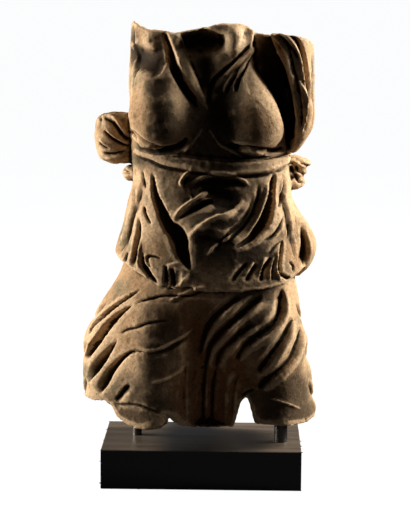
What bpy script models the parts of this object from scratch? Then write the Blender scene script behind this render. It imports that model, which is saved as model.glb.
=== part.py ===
"""A draped stone torso, broken at neck, arms and thighs, on two metal rods above a block plinth.

The plinth's underside is centred on the origin and the figure faces -Y. The figure is worked out in
hundredths of its own height: X from the plinth's centre, Z from its lowest point, and Y from the upright
plane through the plinth's centre. Its carving is drawn on that plane, as seen from a viewing point in
front, and is cut where the sight lines meet the stone.
"""

from dataclasses import dataclass
from enum import Enum

import bmesh
import bpy
import numpy as np
from mathutils import Matrix, Vector, noise

# Driving dimensions, in metres
TORSO_HEIGHT = 0.305
FOOT_GAP = 0.0135
PLINTH_DEPTH = 0.100
PLINTH_HEIGHT = 0.030
PLINTH_MARGIN = 0.015
PLINTH_BEVEL = 0.0008
ROD_LEFT_RADIUS = 0.0035
ROD_RIGHT_RADIUS = 0.0050
ROD_GRIP = 0.024
ROD_SEAT = 0.015
FIT_GAP = 0.0003

# The figure's own unit and where it stands
UNIT = TORSO_HEIGHT / 100
TORSO_FOOT = PLINTH_HEIGHT + FOOT_GAP

# Rod axes, in hundredths of the torso's height
ROD_LEFT_AT = (-16.5, 1.0)
ROD_RIGHT_AT = (19.7, -5.2)

# The viewing point of the drawn carving, how boldly it stands, and the grain of the stone's mesh
EYE = (8.8, -479.0, 105.4)
BOLDNESS = 1.3
CRISPNESS = 1.15
WALL_SHARE = 0.4
STONE_GRAIN = 0.6
STONE_TRIANGLES = 9000
ROD_SIDES = 32
RING_POINTS = 64
ROWS_BETWEEN = 5
BEND_STEPS = 6

STONE = ("schist", (0.17, 0.12, 0.08, 1), 0.72, 0.0)
LACQUER = ("black_lacquer", (0.006, 0.006, 0.008, 1), 0.16, 0.0)
STEEL = ("dark_steel", (0.08, 0.075, 0.07, 1), 0.45, 1.0)


class Edge(Enum):
    """How a stroke's flank runs out into the stone."""

    SOFT = "soft"
    CRISP = "crisp"
    FLAT = "flat"


@dataclass
class Stroke:
    """A drawn line that raises or cuts the stone, with a reach to each side of its direction."""

    points: list
    height: float
    left: float
    right: float
    edge: Edge = Edge.SOFT
    ends: tuple = (0.25, 0.25)


# Rows of a mass: height, left, right, front and back
SKIRT = [
    (-5.8, -29.5, 29.3, -14.8, 12.5),
    (1.9, -30.2, 28.9, -14.8, 12.5),
    (8.4, -30.2, 27.8, -15.4, 13.0),
    (18.6, -30.2, 26.1, -16.4, 13.8),
    (23.7, -28.9, 25.3, -16.7, 14.4),
    (30.1, -25.4, 24.2, -16.4, 14.4),
    (36.5, -21.4, 22.9, -15.5, 13.8),
    (42.8, -18.9, 21.5, -14.0, 12.5),
    (51.6, -15.9, 20.2, -12.0, 11.0),
]
OVERFOLD = [
    (30.0, -25.2, 27.4, -21.2, 17.6),
    (36.0, -23.8, 26.6, -20.6, 17.0),
    (41.3, -22.6, 25.6, -19.0, 15.8),
    (45.8, -21.4, 24.5, -17.8, 14.6),
    (49.8, -20.2, 23.4, -16.8, 13.6),
    (53.9, -19.2, 22.6, -15.6, 12.6),
    (57.9, -18.2, 21.8, -14.6, 12.0),
    (61.6, -17.7, 21.5, -13.8, 11.8),
    (67.9, -17.5, 20.7, -12.6, 11.5),
]
CHEST = [
    (60.0, -17.5, 21.4, -12.8, 11.2),
    (68.8, -18.2, 20.7, -12.8, 11.6),
    (74.0, -18.5, 20.6, -13.2, 12.0),
    (80.2, -18.7, 21.6, -12.8, 12.4),
    (87.6, -19.0, 23.4, -11.4, 12.4),
    (93.7, -18.6, 24.2, -9.8, 11.6),
    (102.0, -18.2, 23.0, -7.6, 10.0),
]
BACK = [
    (61.0, -16.0, 21.0, 0.0, 11.6),
    (68.0, -16.8, 22.0, 0.0, 12.4),
    (78.0, -17.6, 24.4, 0.0, 13.2),
    (90.0, -17.8, 25.4, 0.0, 12.8),
    (102.0, -17.4, 25.0, 0.0, 11.2),
]
NECK = [
    (80.0, -6.0, 13.0, -9.0, 9.0),
    (88.0, -6.0, 13.0, -10.2, 9.0),
    (102.0, -6.0, 13.0, -10.6, 9.0),
]
SLEEVE = [
    (68.2, 20.5, 22.9, -6.0, 6.0),
    (70.7, 21.2, 24.9, -8.0, 7.5),
    (74.4, 21.2, 26.8, -10.0, 9.0),
    (80.6, 20.6, 27.2, -11.6, 10.0),
    (86.7, 19.0, 27.1, -11.2, 10.4),
    (94.0, 16.4, 26.8, -9.8, 10.0),
    (102.0, 14.4, 26.4, -8.6, 9.0),
]
ELBOW_CLOTH = [
    (64.8, -24.8, -17.0, 0.0, 7.0),
    (66.2, -26.6, -16.0, -2.2, 9.0),
    (70.2, -27.6, -15.0, -3.4, 10.0),
    (75.4, -27.2, -15.0, -2.8, 9.6),
    (76.9, -25.2, -16.0, -1.0, 8.0),
]
HEM_TAIL = [
    (37.4, 22.0, 24.4, -4.0, 5.0),
    (39.6, 21.4, 26.6, -6.0, 7.0),
    (42.5, 20.6, 28.0, -6.6, 8.0),
    (45.8, 20.0, 28.1, -6.4, 8.0),
    (49.8, 19.0, 26.2, -5.4, 7.0),
    (53.9, 18.0, 23.4, -4.0, 6.0),
    (57.0, 17.0, 21.6, -2.0, 5.0),
]

# Rounded swellings: centre and radii
BREASTS = [
    ((-10.6, -9.6, 77.4), (7.8, 7.8, 8.8)),
    ((-10.8, -6.6, 83.0), (7.0, 8.0, 9.0)),
    ((12.0, -9.8, 76.8), (8.0, 8.0, 9.4)),
    ((11.4, -6.6, 82.6), (6.6, 8.0, 9.0)),
]
WRIST_CLOTH = [
    ((22.4, 2.0, 64.9), (4.3, 5.0, 1.6)),
    ((22.0, 3.0, 62.8), (3.7, 5.0, 1.7)),
    ((21.6, 3.0, 60.2), (3.7, 5.0, 2.0)),
]
ELBOW_FLAP = ((-18.2, 2.0, 62.2), (2.3, 3.5, 1.8))

# The mantle's roll across the back, and the edge of the overfold
BACK_ROLL = [
    (-22.0, 6.0, 71.0), (-12.0, 12.5, 67.5), (2.0, 14.5, 65.0), (14.0, 12.0, 63.0), (22.0, 5.0, 62.5),
]
BACK_ROLL_RADIUS = 2.9
HEM = [
    (-32.0, 44.0), (-22.7, 40.6), (-20.9, 39.0), (-18.4, 38.3), (-15.9, 37.0), (-13.9, 35.8), (-11.6, 34.3),
    (-7.1, 33.8), (-3.4, 34.6), (-0.8, 32.9), (6.7, 33.0), (14.7, 33.6), (20.4, 34.9), (25.3, 38.7),
    (33.0, 41.3),
]

# Outlines of the breaks and of the deep hollow beside the sleeve
TOP_BREAK = [
    (-32.0, 92.0), (-19.8, 95.6), (-18.8, 100.3), (-17.5, 101.3), (-15.8, 100.0), (-11.1, 98.6),
    (-6.7, 98.3), (-3.8, 98.9), (3.6, 100.3), (7.3, 100.6), (9.8, 100.4), (12.2, 98.9), (15.9, 98.3),
    (20.8, 97.9), (26.0, 96.8), (27.0, 95.3), (32.0, 94.0),
]
FOOT_BREAK = [
    (-36.0, 9.0), (-29.9, 6.4), (-27.2, 4.8), (-24.6, 4.6), (-22.9, 3.3), (-21.1, 0.0), (-18.1, -2.1),
    (-15.0, -3.1), (-12.5, -3.0), (-11.2, -1.5), (-9.5, 0.6), (-7.9, 0.2), (-6.4, -1.4), (-5.1, -2.4),
    (8.0, -2.4), (9.0, 1.6), (9.7, 3.9), (11.1, 5.4), (12.0, 3.5), (13.3, -0.7), (13.8, -1.7),
    (20.1, -1.8), (25.9, -0.5), (28.2, 1.0), (29.4, 3.6), (36.0, 5.2),
]
HOLLOW = [
    (12.2, 99.0), (11.7, 94.0), (11.7, 90.3), (12.6, 87.1), (14.6, 84.7), (17.0, 81.8), (18.6, 78.1),
    (19.6, 74.6), (20.2, 69.8), (22.3, 71.4), (22.6, 76.6), (21.8, 81.8), (20.3, 87.7), (18.2, 92.2),
    (17.0, 94.5), (15.6, 99.0),
]
HOLLOW_FLOOR = 2.0
THROAT = ((-0.6, -11.6, 95.2), (7.4, 6.4, 3.2))
BREAK_FRONT = -16.5
BREAK_HALF_WIDTH = 30.5
BREAK_REACH = 30.0
TOP_SLOPE = 0.10

# Between these heights folds stand out in full, and above and below them they only stand out sideways
UPRIGHT_FROM = 8.0
UPRIGHT_TO = 94.0
UPRIGHT_BLEND = 6.0
CHEST_BLEND = 7.0


def spline(points, steps=BEND_STEPS):
    """Points along the smooth curve through the given ones."""
    keys = np.array(points, dtype=float)
    padded = np.vstack([2 * keys[0] - keys[1], keys, 2 * keys[-1] - keys[-2]])
    path = []
    for before, start, end, after in zip(padded[:-3], padded[1:-2], padded[2:-1], padded[3:]):
        for step in range(steps):
            t = step / steps
            bend = 2 * start + (end - before) * t
            bend += (2 * before - 5 * start + 4 * end - after) * t**2
            bend += (3 * start - before - 3 * end + after) * t**3
            path.append(bend / 2)
    path.append(keys[-1])
    return np.array(path)


def between(first, last, count):
    """Evenly spread lines from a first to a last one."""
    first, last = np.array(first, dtype=float), np.array(last, dtype=float)
    return [first + (last - first) * share for share in np.linspace(0, 1, count)]


def shifted(points, x, z):
    """The same line moved sideways or up."""
    return [(point[0] + x, point[1] + z, *point[2:]) for point in points]


def groove(points, depth, reach, right=None):
    """A cut line, with one reach on both sides or a second one to the right."""
    return Stroke(points, -BOLDNESS * depth, reach, right or reach, Edge.CRISP)


def ridge(points, height, reach, right=None):
    """A rounded raised line, with one reach on both sides or a second one to the right."""
    return Stroke(points, BOLDNESS * height, reach, right or reach)


def lip(points, height, reach, right=None):
    """A sharp raised line, such as the edge of a layer of cloth."""
    return Stroke(points, BOLDNESS * height, reach, right or reach, Edge.CRISP)


def band(points, height, reach):
    """A flat raised band with steep edges, such as a belt."""
    return Stroke(points, BOLDNESS * height, reach, reach, Edge.FLAT, (0.02, 0.02))


def channel(points, depth, reach):
    """A flat-bottomed cut with steep walls, such as a deep fold."""
    return Stroke(points, -BOLDNESS * depth, reach, reach, Edge.FLAT, (0.1, 0.1))


def swell(points, height, reach, ends=(0.25, 0.25)):
    """A broad soft rise, or a hollow where the height is negative."""
    return Stroke(points, height, reach, reach, Edge.SOFT, ends)


def neckline_strokes():
    """The strap of the V neckline, the hollow beside the arm and the fan of folds opposite."""
    return [
        band(
            [
                (-8.4, 97.7, 0.9), (-7.3, 95.1, 0.95), (-6.4, 92.7), (-5.1, 89.0), (-3.3, 85.0, 0.85),
                (-1.3, 81.6, 0.5), (0.9, 77.9, 0.15),
            ], 0.8, 1.5,
        ),
        groove(
            [
                (-10.4, 97.7, 0.4), (-9.3, 94.8, 0.55), (-8.3, 91.4, 0.8), (-7.5, 88.2, 0.8),
                (-6.1, 85.5, 0.8), (-4.3, 82.8, 0.9), (-2.7, 80.4, 0.9), (-1.4, 77.9, 0.6),
            ], 1.9, 1.7,
        ),
        groove(
            [
                (12.3, 95.2), (9.7, 92.7), (6.6, 89.8), (4.2, 87.6), (2.2, 85.6), (1.2, 82.9),
                (1.1, 79.4),
            ], 1.2, 0.8,
        ),
        swell([(-0.5, 93.2), (0.0, 87.8), (0.8, 81.6)], -1.6, 4.0),
        swell([(6.6, 99.0), (7.4, 95.0), (6.0, 91.5)], 1.6, 3.5),
        swell([(-13.1, 98.0), (-13.6, 95.0), (-11.9, 92.6)], 0.9, 3.0),
        swell([(-18.3, 94.0), (-16.8, 91.8), (-14.6, 90.1), (-11.6, 89.1), (-10.1, 88.2)], -2.3, 2.7),
    ]


def under_bust_strokes():
    """The creases under the breasts, the crossed edges between them and the belt."""
    return [
        groove([(-18.4, 72.9), (-16.7, 71.4), (-15.0, 70.0), (-13.0, 69.1), (-10.3, 68.8)], 0.9, 0.7),
        groove([(-13.5, 68.5), (-9.8, 68.2), (-6.5, 68.9), (-4.1, 71.2)], 1.0, 1.2),
        groove(
            [
                (5.8, 70.0), (8.8, 68.8), (12.5, 68.5), (15.3, 68.0), (18.0, 68.3), (19.8, 69.2),
            ], 1.1, 0.9,
        ),
        band(
            [
                (-17.5, 68.1, 0.35), (-15.5, 66.8, 0.4), (-13.2, 66.2, 0.42), (-10.3, 65.4, 0.62),
                (-6.8, 65.0, 0.85), (-4.0, 64.8, 0.95), (1.4, 64.0), (6.4, 63.6), (11.4, 63.8),
                (14.6, 64.2, 0.95), (17.8, 64.9, 0.8), (20.7, 66.1, 0.6), (22.2, 67.0, 0.4),
            ], 0.6, 2.0,
        ),
    ]


def knot_strokes():
    """The tied cloth below the belt, its loop and the hollow under it."""
    return [
        swell([(2.0, 46.0), (4.0, 54.0)], 1.6, 8.0),
        ridge([(-2.5, 63.4), (-4.2, 62.3), (-5.4, 60.9), (-5.8, 59.7), (-4.9, 58.9)], 0.9, 0.7),
        swell([(-1.0, 59.0, 0.7), (2.4, 58.2), (5.8, 57.0, 0.8), (8.0, 55.4, 0.5)], -1.1, 4.2),
        groove(
            [
                (-3.3, 58.6, 0.4), (-1.0, 60.0, 0.8), (1.9, 60.7), (5.4, 60.6), (8.4, 60.4),
                (10.4, 59.1, 0.6),
            ], 0.9, 0.9, 2.0,
        ),
        ridge(
            [
                (-3.8, 59.5, 0.7), (-2.0, 60.6), (0.2, 61.5), (2.9, 62.0), (5.9, 61.8), (8.4, 61.3),
                (10.2, 60.4, 0.8), (11.8, 59.0, 0.3),
            ], 0.7, 0.9,
        ),
        ridge(
            [
                (-7.4, 51.0), (-6.1, 52.9), (-3.9, 54.7), (-1.9, 56.0), (0.0, 57.2), (1.2, 57.8),
            ], 0.8, 0.9,
        ),
        groove(
            [
                (-7.2, 50.1, 0.3), (-4.5, 52.2, 0.7), (-2.2, 53.5, 0.9), (0.1, 54.7), (2.2, 55.3, 0.8),
            ], 1.6, 1.1,
        ),
        lip(
            [
                (-3.8, 45.5), (-2.3, 47.8), (0.4, 49.8), (3.0, 51.1), (5.5, 52.0), (8.0, 53.5),
                (9.9, 55.9),
            ], 1.0, 1.0, 3.0,
        ),
        ridge([(15.9, 59.9), (15.5, 57.4), (14.8, 55.1), (13.2, 50.7), (11.0, 47.9)], 0.7, 0.9),
    ]


def overfold_strokes():
    """The two deep folds of the overfold and the narrow ones beside them."""
    return [
        channel(
            [
                (-13.0, 62.7, 0.15), (-12.4, 57.6, 0.38), (-11.1, 53.9, 0.5), (-9.1, 49.5, 0.7),
                (-7.2, 47.7, 0.95), (-6.0, 45.5), (-5.5, 43.0, 0.85), (-4.8, 41.2, 0.68),
                (-4.3, 39.9, 0.5), (-3.3, 37.8, 0.15),
            ], 3.6, 2.4,
        ),
        channel(
            [
                (17.5, 62.4, 0.28), (17.0, 59.1, 0.55), (16.4, 54.5, 0.83), (15.1, 50.4),
                (12.7, 47.1, 0.72), (11.0, 45.6, 0.5), (8.1, 43.8, 0.2),
            ], 3.2, 1.75,
        ),
        groove(
            [
                (-17.7, 60.9, 0.6), (-17.7, 55.4, 0.7), (-18.4, 51.4, 0.9), (-19.4, 47.3),
                (-20.5, 44.3), (-21.4, 41.7),
            ], 0.9, 0.8,
        ),
        groove(
            [
                (-16.4, 51.9, 0.4), (-16.4, 48.9, 0.8), (-16.7, 45.4), (-17.3, 42.3), (-18.0, 38.5),
            ], 1.3, 1.0,
        ),
        swell([(24.6, 50.3, 0.5), (25.1, 46.3, 0.8), (25.4, 42.7), (25.0, 39.2, 0.7)], -2.3, 1.8),
    ]


def hem_strokes():
    """The pleats and the turned tips along the overfold's edge."""
    return [
        channel(
            [
                (-15.4, 42.3, 0.3), (-15.3, 39.3, 0.9), (-14.3, 37.8), (-13.4, 36.4, 0.9),
                (-11.6, 34.6, 0.3),
            ], 1.8, 0.7,
        ),
        channel([(-9.6, 38.9, 0.7), (-9.5, 36.6), (-9.5, 33.3)], 1.6, 0.6),
        channel([(-8.1, 38.4, 0.8), (-8.0, 36.4), (-7.9, 33.1)], 1.2, 0.8),
        swell([(-6.9, 37.9), (-6.9, 33.8)], -0.9, 1.6),
        groove([(13.1, 39.6), (11.9, 37.5), (10.7, 35.3)], 1.2, 0.7),
        channel([(16.8, 41.3, 0.4), (15.7, 39.6, 0.9), (14.9, 37.9), (14.5, 35.3, 0.8)], 1.4, 0.6),
        channel([(19.7, 45.8, 0.3), (19.3, 42.7, 0.8), (18.9, 39.8), (19.1, 37.9, 0.9)], 1.7, 0.65),
        groove([(18.5, 37.8), (19.7, 37.0), (21.0, 36.3), (21.9, 36.5)], 1.0, 0.7),
    ]


def skirt_left_strokes():
    """The viewer's left thigh and the folds that sweep round the hip."""
    return [
        swell([(-11.5, 30.2), (-13.0, 18.8), (-13.0, 7.2), (-12.4, -4.0)], 3.2, 12.0, (0.3, 0.01)),
        swell([(0.9, 30.4), (0.9, 17.7), (2.0, -4.0)], -2.6, 7.0, (0.3, 0.01)),
        channel(
            [
                (-15.8, 32.9, 0.2), (-18.9, 30.8, 0.7), (-22.4, 28.4), (-25.3, 26.0),
                (-27.7, 23.7, 0.8), (-28.9, 21.2, 0.4),
            ], 1.4, 0.62,
        ),
        channel(
            [
                (-17.5, 28.8, 0.1), (-19.9, 27.2, 0.5), (-23.3, 24.3, 0.9), (-26.2, 20.6),
                (-28.3, 17.5, 0.9), (-29.5, 14.9, 0.4),
            ], 2.6, 1.25,
        ),
        groove(
            [
                (-21.0, 20.5, 0.2), (-23.5, 16.6, 0.7), (-25.7, 13.4), (-27.5, 11.1, 0.9),
                (-28.9, 8.9, 0.3),
            ], 2.3, 0.7, 2.3,
        ),
        groove(
            [
                (-13.3, 17.5, 0.25), (-16.3, 17.5, 0.3), (-18.1, 16.6, 0.45), (-20.5, 14.4, 0.7),
                (-22.6, 11.8, 0.9), (-24.5, 8.7), (-26.2, 6.1),
            ], 2.5, 0.7, 2.0,
        ),
        groove([(-17.8, 8.9), (-19.7, 6.7), (-21.7, 4.2)], 1.0, 0.9),
    ]


def skirt_right_strokes():
    """The viewer's right thigh, the folds across it and those that hang between the legs."""
    crests = [
        [
            (20.7, 33.1), (20.6, 30.5), (20.0, 27.1), (18.5, 24.5), (16.4, 22.4), (13.4, 19.8),
            (11.1, 17.4), (9.4, 14.5),
        ],
        [(22.5, 25.3), (20.6, 21.4), (18.5, 18.0), (16.5, 14.3), (14.8, 11.4)],
        [
            (25.1, 23.3), (24.7, 20.4), (23.4, 17.5), (21.9, 15.2), (19.6, 12.8), (17.1, 10.2),
            (14.8, 7.2),
        ],
        [(15.6, 30.9), (13.3, 28.8), (10.2, 26.0), (6.4, 22.1), (3.9, 18.9), (2.6, 16.5), (1.6, 12.0)],
        [(13.4, 23.7), (10.5, 21.5), (7.8, 18.9), (5.7, 16.3), (4.1, 12.1)],
        [(10.2, 30.9), (7.7, 28.8), (4.6, 25.9), (2.6, 23.0), (1.1, 19.4), (0.0, 14.6)],
    ]
    strokes = [
        swell([(16.2, 30.5), (18.3, 19.1), (20.0, 7.6), (20.4, -4.0)], 2.8, 9.0, (0.3, 0.01)),
        groove([(-0.7, 17.1), (-0.9, 10.0), (-0.1, 4.3), (-0.3, -2.4)], 0.7, 0.9),
        groove([(2.1, 15.1), (1.9, 8.7), (2.6, 3.6), (2.2, -2.3)], 0.8, 0.8),
    ]
    for weight, crest in zip((1.5, 1.6, 1.6, 1.1, 0.8, 0.9), crests):
        strokes.append(groove(shifted(crest, -0.75, 0.5), weight, 0.6, 2.0))
        strokes.append(lip(crest, 0.55 * weight, 2.6, 0.6))
    return strokes


def sleeve_strokes():
    """The folds that run down the sleeve."""
    return [
        lip(
            [
                (15.9, 97.3), (17.2, 96.3), (19.2, 94.2), (20.5, 91.9), (21.6, 87.1), (22.5, 83.5),
                (22.9, 80.3), (23.2, 76.1), (22.8, 71.8),
            ], 0.9, 0.7,
        ),
        groove(
            [
                (17.2, 97.4), (19.1, 95.7), (20.4, 93.6), (21.3, 90.9), (22.0, 87.9), (23.5, 85.4),
            ], 1.2, 0.7,
        ),
        groove(
            [
                (20.2, 97.2), (22.1, 95.9), (23.6, 93.8), (24.5, 91.3), (24.9, 88.4), (25.6, 85.0),
                (26.3, 82.4), (26.1, 79.3), (25.8, 76.1), (24.7, 72.9),
            ], 1.6, 0.75,
        ),
        groove([(22.2, 86.6), (23.3, 82.4), (24.0, 78.2), (24.1, 73.9)], 1.3, 0.7),
    ]


def bunches_strokes():
    """The folds of the bunched cloth at both sides."""
    return [
        groove([(-25.0, 76.1), (-23.2, 75.4), (-22.0, 74.0), (-20.8, 72.3), (-19.0, 70.4)], 1.3, 0.9),
        groove([(-24.9, 72.9), (-23.5, 71.4), (-22.0, 70.3), (-20.3, 69.4), (-18.7, 69.0)], 1.2, 0.7),
        groove([(21.5, 66.2), (23.6, 63.1), (25.4, 62.0)], 0.9, 0.7),
    ]


def back_strokes():
    """Plainer folds behind, seen from behind but with X as in front."""
    strokes = [
        swell([(2.0, 98.0), (2.0, 70.0)], -1.2, 6.0),
        swell([(-9.0, 92.0), (-9.0, 80.0)], 1.0, 6.0),
        swell([(13.0, 92.0), (13.0, 80.0)], 1.0, 6.0),
        swell([(-11.0, 24.0), (-11.0, 8.0)], 1.6, 9.0),
        swell([(13.0, 24.0), (13.0, 8.0)], 1.6, 9.0),
    ]
    shoulders = [
        [(-13.0, 95.0, 0.4), (-5.0, 89.0), (7.0, 87.5), (19.0, 92.0, 0.4)],
        [(-16.0, 84.0, 0.4), (-7.0, 78.5), (5.0, 77.0), (14.0, 79.5, 0.3)],
    ]
    overfold = [
        [(-16.0, 60.0, 0.4), (-18.0, 51.0), (-21.0, 41.0)],
        [(-8.0, 59.0, 0.3), (-10.0, 50.0), (-11.0, 40.0)],
        [(1.0, 57.0, 0.3), (-0.5, 49.0), (-0.5, 40.0)],
        [(7.0, 60.0, 0.3), (9.5, 50.0), (10.0, 40.0)],
        [(15.0, 60.0, 0.4), (18.0, 50.0), (21.0, 41.0)],
    ]
    skirt = [
        [(-17.0, 37.0, 0.4), (-21.0, 18.0), (-23.0, -4.0)],
        [(-9.0, 37.0, 0.4), (-13.0, 20.0), (-14.0, -4.0)],
        [(-3.0, 37.0, 0.4), (-4.5, 22.0), (-8.0, 6.0, 0.4)],
        [(4.0, 37.0, 0.4), (4.5, 18.0), (2.5, -4.0)],
        [(12.0, 37.0, 0.4), (15.0, 22.0), (15.5, 8.0, 0.4)],
        [(18.0, 37.0, 0.4), (22.0, 18.0), (23.0, -4.0)],
    ]
    strokes += [groove(line, 0.8, 1.3, 3.0) for line in shoulders]
    strokes += [groove(line, 0.9, 1.1, 2.8) for line in overfold]
    strokes += [groove(line, 1.2, 1.2, 3.2) for line in skirt]
    return strokes


def flank_strokes():
    """Folds on the two sides, drawn by depth and height."""
    first = [(-7.0, 31.0), (0.0, 26.0), (10.0, 22.0)]
    last = [(-7.0, 11.0), (0.0, 6.0), (10.0, 2.0)]
    strokes = [groove(line, 1.0, 1.0, 2.6) for line in between(first, last, 3)]
    upper_first = [(-9.0, 62.0), (-9.0, 52.0), (-11.0, 42.0)]
    upper_last = [(9.0, 60.0), (10.0, 52.0), (12.0, 42.0)]
    strokes += [groove(line, 0.8, 1.0, 2.4) for line in between(upper_first, upper_last, 3)]
    arm_first = [(-3.0, 97.0, 0.5), (-6.5, 84.0, 1.0), (-4.0, 71.0, 0.4)]
    arm_last = [(6.0, 93.0, 0.4), (5.0, 84.0, 0.8), (1.0, 73.0, 0.4)]
    return strokes + [groove(line, 0.7, 1.0, 2.6) for line in between(arm_first, arm_last, 3)]


def material(finish):
    """A plain material from a name, a colour, a roughness and a metallic value."""
    name, colour, roughness, metallic = finish
    made = bpy.data.materials.new(name)
    made.use_nodes = True
    shader = made.node_tree.nodes["Principled BSDF"]
    shader.inputs["Base Color"].default_value = colour
    shader.inputs["Roughness"].default_value = roughness
    shader.inputs["Metallic"].default_value = metallic
    made.diffuse_color = colour
    return made


def add_object(name, mesh, collection):
    """An object for a mesh, in a collection."""
    made = bpy.data.objects.new(name, mesh)
    collection.objects.link(made)
    return made


def hide_cutter(cutter):
    """Keep a cutting shape out of the finished model."""
    cutter.hide_render = True
    cutter.display_type = "WIRE"


def evaluated_mesh(source):
    """The mesh of an object with its modifiers carried out."""
    bpy.context.view_layer.update()
    return bpy.data.meshes.new_from_object(source.evaluated_get(bpy.context.evaluated_depsgraph_get()))


def bake(source):
    """Carry out an object's modifiers and keep the result as its own mesh."""
    mesh = evaluated_mesh(source)
    source.modifiers.clear()
    source.data = mesh


def add_rings(bm, rings):
    """Join rings of points, lowest first, into one closed skin."""
    made = [[bm.verts.new(point) for point in ring] for ring in rings]
    for lower, upper in zip(made[:-1], made[1:]):
        for index, corner in enumerate(lower):
            before = index - 1
            bm.faces.new((lower[before], corner, upper[index], upper[before]))
    bm.faces.new(list(reversed(made[0])))
    bm.faces.new(made[-1])


def add_loft(bm, rows, squareness=2.4):
    """A mass with rounded cross-sections through its rows."""
    angles = np.linspace(0, 2 * np.pi, RING_POINTS, endpoint=False)
    power = 2 / squareness
    across = np.sign(np.cos(angles)) * np.abs(np.cos(angles)) ** power
    along = np.sign(np.sin(angles)) * np.abs(np.sin(angles)) ** power
    rings = []
    for height, left, right, front, back in spline(rows, ROWS_BETWEEN):
        x = (left + right) / 2 + across * (right - left) / 2
        y = (front + back) / 2 + along * (back - front) / 2
        rings.append([(float(px), float(py), float(height)) for px, py in zip(x, y)])
    add_rings(bm, rings)


def add_ellipsoid(bm, centre, radii):
    """A rounded swelling."""
    place = Matrix.Translation(centre) @ Matrix.Diagonal((*radii, 1.0))
    bmesh.ops.create_uvsphere(bm, u_segments=32, v_segments=20, radius=1.0, matrix=place)


def sight(x, z, depth):
    """Where the sight line through a drawn point reaches another depth."""
    share = (depth - EYE[1]) / -EYE[1]
    return EYE[0] + (x - EYE[0]) * share, depth, EYE[2] + (z - EYE[2]) * share


def level(x, z, depth):
    """A drawn point carried straight back from the stone's rounded front."""
    rim = BREAK_FRONT * max(0.0, 1.0 - (x / BREAK_HALF_WIDTH) ** 4)
    rim_x, _, rim_z = sight(x, z, rim)
    return rim_x, depth, rim_z


def sloping(x, z, depth):
    """A drawn point carried back and down, from the middle of the stone."""
    return x, depth, z - TOP_SLOPE * max(0.0, depth)


def cutter(name, outline, front, back, carry, collection):
    """A closed cutting block between two depths, with a drawn outline."""
    bm = bmesh.new()
    rings = [[carry(x, z, depth) for x, z in outline] for depth in (front, back)]
    add_rings(bm, rings)
    bmesh.ops.recalc_face_normals(bm, faces=bm.faces)
    mesh = bpy.data.meshes.new(name)
    bm.to_mesh(mesh)
    bm.free()
    made = add_object(name, mesh, collection)
    hide_cutter(made)
    return made


def ellipsoid_cutter(name, centre, radii, collection):
    """A closed rounded cutting shape."""
    bm = bmesh.new()
    add_ellipsoid(bm, centre, radii)
    mesh = bpy.data.meshes.new(name)
    bm.to_mesh(mesh)
    bm.free()
    made = add_object(name, mesh, collection)
    hide_cutter(made)
    return made


def cut(target, tool):
    """Take a cutting shape away from an object."""
    modifier = target.modifiers.new("cut_" + tool.name, "BOOLEAN")
    modifier.operation = "DIFFERENCE"
    modifier.solver = "EXACT"
    modifier.object = tool


def remesh(target, grain):
    """Melt all of an object's shells into one skin of even grain."""
    modifier = target.modifiers.new("even_grain", "REMESH")
    modifier.mode = "VOXEL"
    modifier.voxel_size = grain
    bake(target)


def line_heights(x, z, stroke):
    """The height that a stroke gives to points on its drawing plane."""
    heights = np.zeros(len(x))
    keys = [(*point, 1.0) if len(point) == 2 else tuple(point) for point in stroke.points]
    path = spline(keys)
    reach = max(stroke.left, stroke.right)
    low, high = path[:, :2].min(axis=0) - reach, path[:, :2].max(axis=0) + reach
    near = np.flatnonzero((x > low[0]) & (x < high[0]) & (z > low[1]) & (z < high[1]))
    if not len(near):
        return heights
    px, pz = x[near], z[near]
    distance = np.full(len(near), np.inf)
    side, place, width = np.zeros(len(near)), np.zeros(len(near)), np.ones(len(near))
    pieces = len(path) - 1
    for index in range(pieces):
        (ax, az, a_width), (bx, bz, b_width) = path[index], path[index + 1]
        run_x, run_z = bx - ax, bz - az
        share = np.clip(((px - ax) * run_x + (pz - az) * run_z) / (run_x**2 + run_z**2), 0, 1)
        off_x, off_z = px - ax - share * run_x, pz - az - share * run_z
        away = np.hypot(off_x, off_z)
        closer = away < distance
        distance = np.where(closer, away, distance)
        side = np.where(closer, run_x * off_z - run_z * off_x, side)
        place = np.where(closer, (index + share) / pieces, place)
        width = np.where(closer, a_width + share * (b_width - a_width), width)
    spread = np.where(side > 0, stroke.left, stroke.right) * width
    rise = np.clip(1 - distance / spread, 0, 1)
    if stroke.edge is Edge.FLAT:
        rise = np.clip(rise / WALL_SHARE, 0, 1)
    profile = rise**CRISPNESS if stroke.edge is Edge.CRISP else rise**2 * (3 - 2 * rise)
    fade = np.minimum(place / stroke.ends[0], (1 - place) / stroke.ends[1])
    heights[near] = stroke.height * width * profile * np.clip(fade, 0, 1) ** 0.7
    return heights


def facing(share):
    """How fully a surface takes a drawing, from how far it turns towards it."""
    return np.clip((share + 0.1) / 0.3, 0, 1)


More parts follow.
